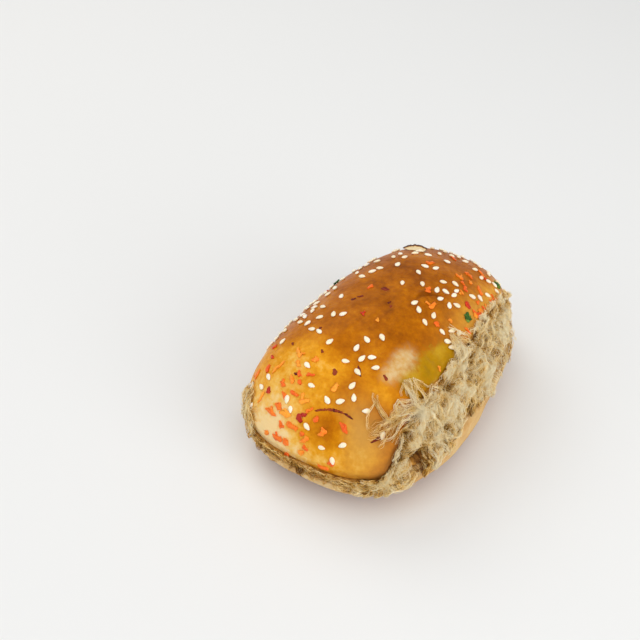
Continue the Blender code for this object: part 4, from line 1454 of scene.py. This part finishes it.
def fibres(azimuths, rises, offsets, spread, count, wave, radius):
    """Fibres that follow each path: count of them, spread round it, each with its own frizz."""
    locks, points = azimuths.shape
    bed = bed_height(azimuths, rises)
    middle = surface(azimuths, rises)
    outward = surface_normal(azimuths, rises)
    ahead = unit(np.gradient(middle, axis=1))
    aside = unit(np.cross(outward, ahead))
    along = np.linspace(0, 1, points)
    shape = (locks, count, 1)
    around = draw.uniform(0, math.tau, shape) + draw.uniform(-2.5, 2.5, shape) * along
    out_by = spread * np.sqrt(draw.uniform(0, 1, shape)) * draw.uniform(0.5, 1.5, (locks, 1, 1))
    open_end = 0.7 + 1.3 * np.abs(along - 0.5) * draw.uniform(0.2, 1.6, shape)
    side = out_by * np.cos(around) * open_end
    lifted = 0.6 * out_by * np.sin(around) * open_end
    for least, most, strength in ((0.8, 2.0, 1.0), (2.5, 5.0, 0.5)):
        cycles = math.tau * draw.uniform(least, most, shape) * along
        side = side + wave * strength * np.sin(cycles + draw.uniform(0, math.tau, shape))
        lifted = lifted + 0.7 * wave * strength * np.sin(cycles + draw.uniform(0, math.tau, shape))
    height = np.maximum(offsets[:, None, :] + lifted, draw.uniform(0, 0.25, shape) * MM)
    paths = middle[:, None] + aside[:, None] * side[..., None]
    paths = paths + outward[:, None] * (bed[:, None, :] + height)[..., None]
    normals = np.broadcast_to(outward[:, None], paths.shape)
    thick = radius * draw.uniform(0.6, 1.5, shape) * (0.4 + 0.6 * np.sin(math.pi * along) ** 0.5)
    flat = (locks * count, points)
    return paths.reshape(*flat, 3), normals.reshape(*flat, 3), thick.reshape(flat), height.reshape(flat)


lip_bed = bed_height(np.array([0.0]), crust_rim(np.array([0.0])) + 0.1)
print("over the crust a fibre lies at least", np.round(lip_bed / MM, 2), "mm up")

# %% [markdown]
# A fibre needs only three sides: it is thinner than a pixel of most pictures, and there are thousands.
# Thousands of curve objects would be slow, so all the tubes of a piece are worked out as one array of
# points and one list of faces, with closed ends.

# %% From paths to a mesh


def fibre_piece(name, paths, normals, thick, tints, material):
    """Three-sided tubes along all the paths, joined in one mesh, with closed ends."""
    number, points, _ = paths.shape
    ahead = unit(np.gradient(paths, axis=1))
    aside = unit(np.cross(normals, ahead))
    upward = np.cross(ahead, aside)
    corners = []
    for turn in (math.pi / 2, math.pi * 7 / 6, math.pi * 11 / 6):
        corners.append(paths + (aside * math.cos(turn) + upward * math.sin(turn)) * thick[..., None])
    rings = np.stack(corners, 2)
    vertex = np.arange(number * points * 3).reshape(number, points, 3)
    quads = []
    for corner in range(3):
        after = (corner + 1) % 3
        here, there = vertex[:, :-1], vertex[:, 1:]
        sides = (here[..., corner], here[..., after], there[..., after], there[..., corner])
        quads.append(np.stack(sides, -1).reshape(-1, 4))
    faces = np.concatenate(quads).tolist() + vertex[:, 0, ::-1].tolist() + vertex[:, -1].tolist()
    tints = np.repeat(tints.reshape(-1), 3)
    settle(mesh_from(name, rings.reshape(-1, 3), faces, material, tints), "pork_floss")


print("a fibre of 11 points has", 3 * 2 * (11 - 1) + 2, "triangles")

# %% Growing locks


def grow(starts, count, points, step, turn, follow, reach, spread, wave, radius, raised, tints):
    """Locks from start angles and headings, as the parts that a fibre piece is made of.

    A lock has count fibres, which follow a path of points that lie step mm apart. The path turns by
    chance (turn) and with the flow (follow), and reach says how far it may pass the rims. Spread, wave
    and radius of the fibres and the range by which locks are raised are in mm.
    """
    azimuth, rise, heading = starts
    paths_a, paths_r = winding(azimuth, rise, heading, step * MM, turn, follow, points, *reach)
    bow = np.sin(np.linspace(0, math.pi, points)) ** 0.7
    locks = len(azimuth)
    offsets = draw.uniform(*raised, (locks, 1)) * bow * MM
    paths, normals, thick, height = fibres(
        paths_a, paths_r, offsets, spread * MM, count, wave * MM, radius * MM
    )
    share = share_of(paths_a, paths_r)
    # Painted shade and light in the tint: darker in the hollows and on low lumps, lighter on high lumps and
    # the higher a fibre lies; the tint is also lower on the closed sides.
    lump_shade = 0.34 * from_grid(lumps, paths_a, share) - 0.60 * from_grid(recess, paths_a, share)
    shade = lump_shade * smooth_step(1.02, 0.94, share)
    shade = shade - 0.20 * (1 - from_grid(open_share, paths_a, share))
    own_tint = np.repeat(draw.uniform(*tints, locks), count) + draw.uniform(-0.26, 0.26, locks * count)
    shade = np.repeat(shade, count, axis=0) + 0.16 * (height / MM - 0.5)
    return paths, normals, thick, own_tint[:, None] + shade


def joined(parts):
    """Puts several sets of fibres of equal point count into one."""
    return [np.concatenate(group) for group in zip(*parts)]


print("flow of the floss runs over", round(float(np.ptp(flow_table)), 1), "radians")

# %% The bed of short fibres and the longer locks
OPEN_FRONT, OPEN_MIDDLE, OPEN_BACK = -1.12, -0.15, 1.12
MIDDLE_OVERLAP = 0.1
HOLLOWS_LEFT_FREE = 0.65
BED = dict(count=9, points=11, step=1.2, turn=0.4, follow=0.2, reach=(-0.09, -0.01))
BED.update(spread=1.1, wave=0.42, radius=0.070, raised=(0.0, 0.5), tints=(-0.32, -0.04))
LOCKS = dict(count=14, points=15, step=1.15, turn=0.42, follow=0.15, reach=(-0.08, -0.03))
LOCKS.update(spread=0.95, wave=0.52, radius=0.070, raised=(0.3, 1.7), tints=(-0.10, 0.34))


def open_side(count, first, last, low_share, high_share):
    """Starts on the open side, fewer of them in the hollows between the tufts."""
    azimuth = draw.uniform(first, last, 3 * count)
    share = draw.uniform(low_share, high_share, 3 * count)
    rise = base_rim(azimuth) + (crust_rim(azimuth) - base_rim(azimuth)) * share
    free = draw.uniform(0, 1, 3 * count) > HOLLOWS_LEFT_FREE * from_grid(recess, azimuth, share)
    kept = np.flatnonzero(free & (rise > base_rim(azimuth) + bare_bread(azimuth)))[:count]
    azimuth, share = azimuth[kept], share[kept]
    rise = base_rim(azimuth) + (crust_rim(azimuth) - base_rim(azimuth)) * share
    heading = from_grid(flow_table, azimuth, share) + draw.normal(0, 0.5, len(azimuth))
    return azimuth, rise, heading


halves = (("front", OPEN_FRONT, OPEN_MIDDLE), ("back", OPEN_MIDDLE - MIDDLE_OVERLAP, OPEN_BACK))
for name, first, last in halves:
    bed = grow(open_side(330, first, last, -0.1, 1.0), **BED)
    fibre_piece("floss_bed_" + name, *bed, pale_fibre)
    locks = grow(open_side(105, first, last, 0.03, 0.95), **LOCKS)
    fibre_piece("floss_locks_" + name, *locks, pale_fibre)

# %% [markdown]
# Where the bun was squeezed, wisps of floss pushed out over the lip and onto the crust. These are the
# palest fibres, and they make the edge of the slit look soft. Each wisp is a handful of locks that
# start close together and head roughly the same way: tufts on the lip, a mat that trails over the
# crust towards the front, and long single strands that catch the light.

# %% Wisps
# Direction round the bun in degrees, way above the lip in radians, heading, length in mm, locks,
# spread in degrees, how far over the lip they may go, and the size of their waves in mm.
WISPS = (
    (-2, 0.24, -1.79, 11, 11, 3.0, 0.30, 0.45),
    (-2, 0.07, -1.90, 11, 12, 3.5, 0.12, 0.45),
    (-26, -0.03, 0.54, 7, 12, 5.0, 0.05, 0.50),
    (-15, -0.10, 0.30, 9, 10, 5.0, 0.0, 0.45),
    (-4, -0.20, -0.19, 20, 6, 3.0, 0.0, 0.20),
    (0, -0.26, 0.10, 15, 8, 4.0, 0.0, 0.30),
    (-6, -0.26, -1.39, 13, 12, 5.0, 0.0, 0.45),
    (-35, -0.46, 1.85, 21, 5, 1.4, 0.15, 0.16),
    (-37, -0.18, 2.42, 28, 6, 2.5, 0.95, 0.24),
    (-43, -0.10, 2.60, 22, 7, 3.0, 0.90, 0.34),
    (-48, -0.04, 2.70, 16, 6, 4.0, 0.60, 0.40),
    (-54, 0.10, 2.80, 13, 4, 4.0, 0.90, 0.45),
    (-68, 0.72, -1.46, 11, 4, 1.5, 0.80, 0.25),
    (-62, 0.50, -2.10, 9, 3, 2.0, 0.72, 0.35),
    (-57, 0.02, -1.52, 12, 9, 1.8, 0.08, 0.25),
    (-41, -0.50, -2.83, 9, 7, 2.0, 0.0, 0.30),
    (-56, -0.42, -3.02, 14, 15, 4.0, 0.0, 0.50),
    (-64, -0.10, 3.00, 13, 10, 4.0, 0.03, 0.50),
    (39, -0.50, 1.38, 17, 9, 3.0, 0.0, 0.28),
    (-34, -0.32, 0.05, 11, 8, 2.5, 0.0, 0.28),
    (4, -0.50, 0.02, 11, 7, 4.0, 0.0, 0.40),
    (-49, -0.02, -0.88, 10, 9, 2.5, 0.06, 0.30),
    (-50, -0.12, -1.18, 10, 9, 2.5, 0.0, 0.30),
    (-117, 0.30, -1.35, 13, 12, 3.5, 0.42, 0.45),
    (-113, 0.20, -1.55, 11, 9, 3.5, 0.30, 0.45),
    (-131, -0.03, 0.20, 10, 9, 6.0, 0.08, 0.50),
    (20, 0.0, -0.25, 15, 6, 5.0, 0.03, 0.30),
    (30, 0.03, 1.40, 6, 14, 16.0, 0.10, 0.45),
    (50, 0.02, 1.20, 6, 14, 18.0, 0.10, 0.45),
    (60, -0.10, 0.30, 10, 6, 5.0, 0.02, 0.45),
)
WISP_POINTS = 16
FRONT_WISPS_END = -30
WISP = dict(count=8, points=WISP_POINTS, turn=0.22, follow=0.0, spread=0.85, radius=0.066)
WISP.update(raised=(0.2, 1.8), tints=(0.05, 0.48))
parts = {"front": [], "back": []}
for azimuth_degrees, above_lip, heading, length, locks, wide, over, wave in WISPS:
    azimuth = math.radians(azimuth_degrees) + draw.normal(0, math.radians(wide) / 2, locks)
    rise = crust_rim(azimuth) + above_lip + draw.normal(0, 0.03, locks)
    starts = (azimuth, rise, heading + draw.normal(0, 0.25, locks))
    wisp = grow(starts, step=length / (WISP_POINTS - 1), reach=(-0.04, over), wave=wave, **WISP)
    parts["front" if azimuth_degrees < FRONT_WISPS_END else "back"].append(wisp)
for name, group in parts.items():
    fibre_piece("floss_wisps_" + name, *joined(group), pale_fibre)

# %% [markdown]
# All round the closed sides only the edge of the thin layer shows, as a line of matted fibre between
# the two halves. Single frizzy fibres stand off the tufts on the open side and soften their outline.

# %% The seam and the frizz
SEAM_LOCKS = 620
SEAM = dict(count=4, points=10, step=0.9, turn=0.45, follow=0.0, reach=(-0.03, 0.02))
SEAM.update(spread=0.55, wave=0.30, radius=0.075, raised=(0.0, 0.9), tints=(-0.05, 0.20))
azimuth = draw.uniform(OPEN_BACK - 0.15, math.tau + OPEN_FRONT + 0.15, SEAM_LOCKS)
rise = base_rim(azimuth) + (crust_rim(azimuth) - base_rim(azimuth)) * draw.uniform(0.1, 0.9, SEAM_LOCKS)
seam = grow((azimuth, rise, draw.normal(0, 0.5, SEAM_LOCKS)), **SEAM)
fibre_piece("floss_seam", *seam, pale_fibre)
FRIZZ_LOCKS = 800
FRIZZ = dict(count=2, points=12, step=0.8, turn=0.60, follow=0.0, reach=(-0.02, 0.03))
FRIZZ.update(spread=0.5, wave=0.50, radius=0.052, raised=(0.3, 1.9), tints=(0.15, 0.50))
azimuth = draw.uniform(OPEN_FRONT, OPEN_BACK, FRIZZ_LOCKS)
rise = base_rim(azimuth) + (crust_rim(azimuth) - base_rim(azimuth)) * draw.uniform(0.05, 0.95, FRIZZ_LOCKS)
frizz = grow((azimuth, rise, draw.uniform(-math.pi, math.pi, FRIZZ_LOCKS)), **FRIZZ)
fibre_piece("floss_frizz", *frizz, pale_fibre)

# %% [markdown]
# The bun stands on a plain pale table in soft light: a wide window from the left, a ceiling light and
# two large weak panels, which keep the shadows open. The camera has the photograph's viewing angle and
# field of view.

# %% Table and camera
CAMERA_PLACE = (142.8, -257.6, 297.0)
LOOK_ACROSS = (-0.5692, 0.8222)
PITCH_DOWN = math.radians(40.9)
FOCAL_PIXELS, PICTURE_PIXELS, SENSOR_MM = 995, 640, 36
bpy.ops.mesh.primitive_plane_add(size=6.0)
table = bpy.context.object
table.name = "pale_table"
paint, tree, shader = new_material("matte_white_laminate")
set_sockets(shader, {"Base Color": linear("#EBEBEA"), "Roughness": 0.85, "Specular IOR Level": 0.2})
table.data.materials.append(paint)
camera_data = bpy.data.cameras.new("camera")
camera_data.lens = FOCAL_PIXELS / PICTURE_PIXELS * SENSOR_MM
camera_data.sensor_width = SENSOR_MM
camera_data.clip_start = 0.01
camera = bpy.data.objects.new("camera", camera_data)
bpy.context.scene.collection.objects.link(camera)
camera.location = Vector(CAMERA_PLACE) * MM + Vector(PLAN_SHIFT)
down = math.sin(PITCH_DOWN)
look = Vector((LOOK_ACROSS[0] * math.cos(PITCH_DOWN), LOOK_ACROSS[1] * math.cos(PITCH_DOWN), -down))
camera.rotation_euler = look.to_track_quat("-Z", "Y").to_euler()
bpy.context.scene.camera = camera
print("lens in mm:", round(camera_data.lens, 1))

# %% Lights


def soft_light(name, place, size, power, colour="#FFFFFF"):
    """A round soft light that points at the bun; place and size in metres, power in watts."""
    lamp_data = bpy.data.lights.new(name, "AREA")
    lamp_data.shape = "DISK"
    lamp_data.size = size
    lamp_data.energy = power
    lamp_data.color = linear(colour)[:3]
    lamp = bpy.data.objects.new(name, lamp_data)
    bpy.context.scene.collection.objects.link(lamp)
    lamp.location = place
    lamp.rotation_euler = (Vector((0, 0, 0.03)) - Vector(place)).to_track_quat("-Z", "Y").to_euler()


soft_light("window", (-0.75, 0.25, 0.95), 0.9, 4.2, "#FFFBF4")
soft_light("ceiling", (0.25, -0.35, 1.5), 1.6, 7.3)
soft_light("fill", (1.05, -0.20, 0.50), 1.0, 6.6)
soft_light("bounce", (-0.65, -0.95, 0.50), 1.0, 2.8)
world = bpy.data.worlds.new("room")
world.use_nodes = True
world.node_tree.nodes["Background"].inputs["Color"].default_value = linear("#F4F6F8")
world.node_tree.nodes["Background"].inputs["Strength"].default_value = 0.46
bpy.context.scene.world = world
bpy.context.scene.view_settings.view_transform = "Standard"
print("lights:", [lamp_data.name for lamp_data in bpy.data.lights])
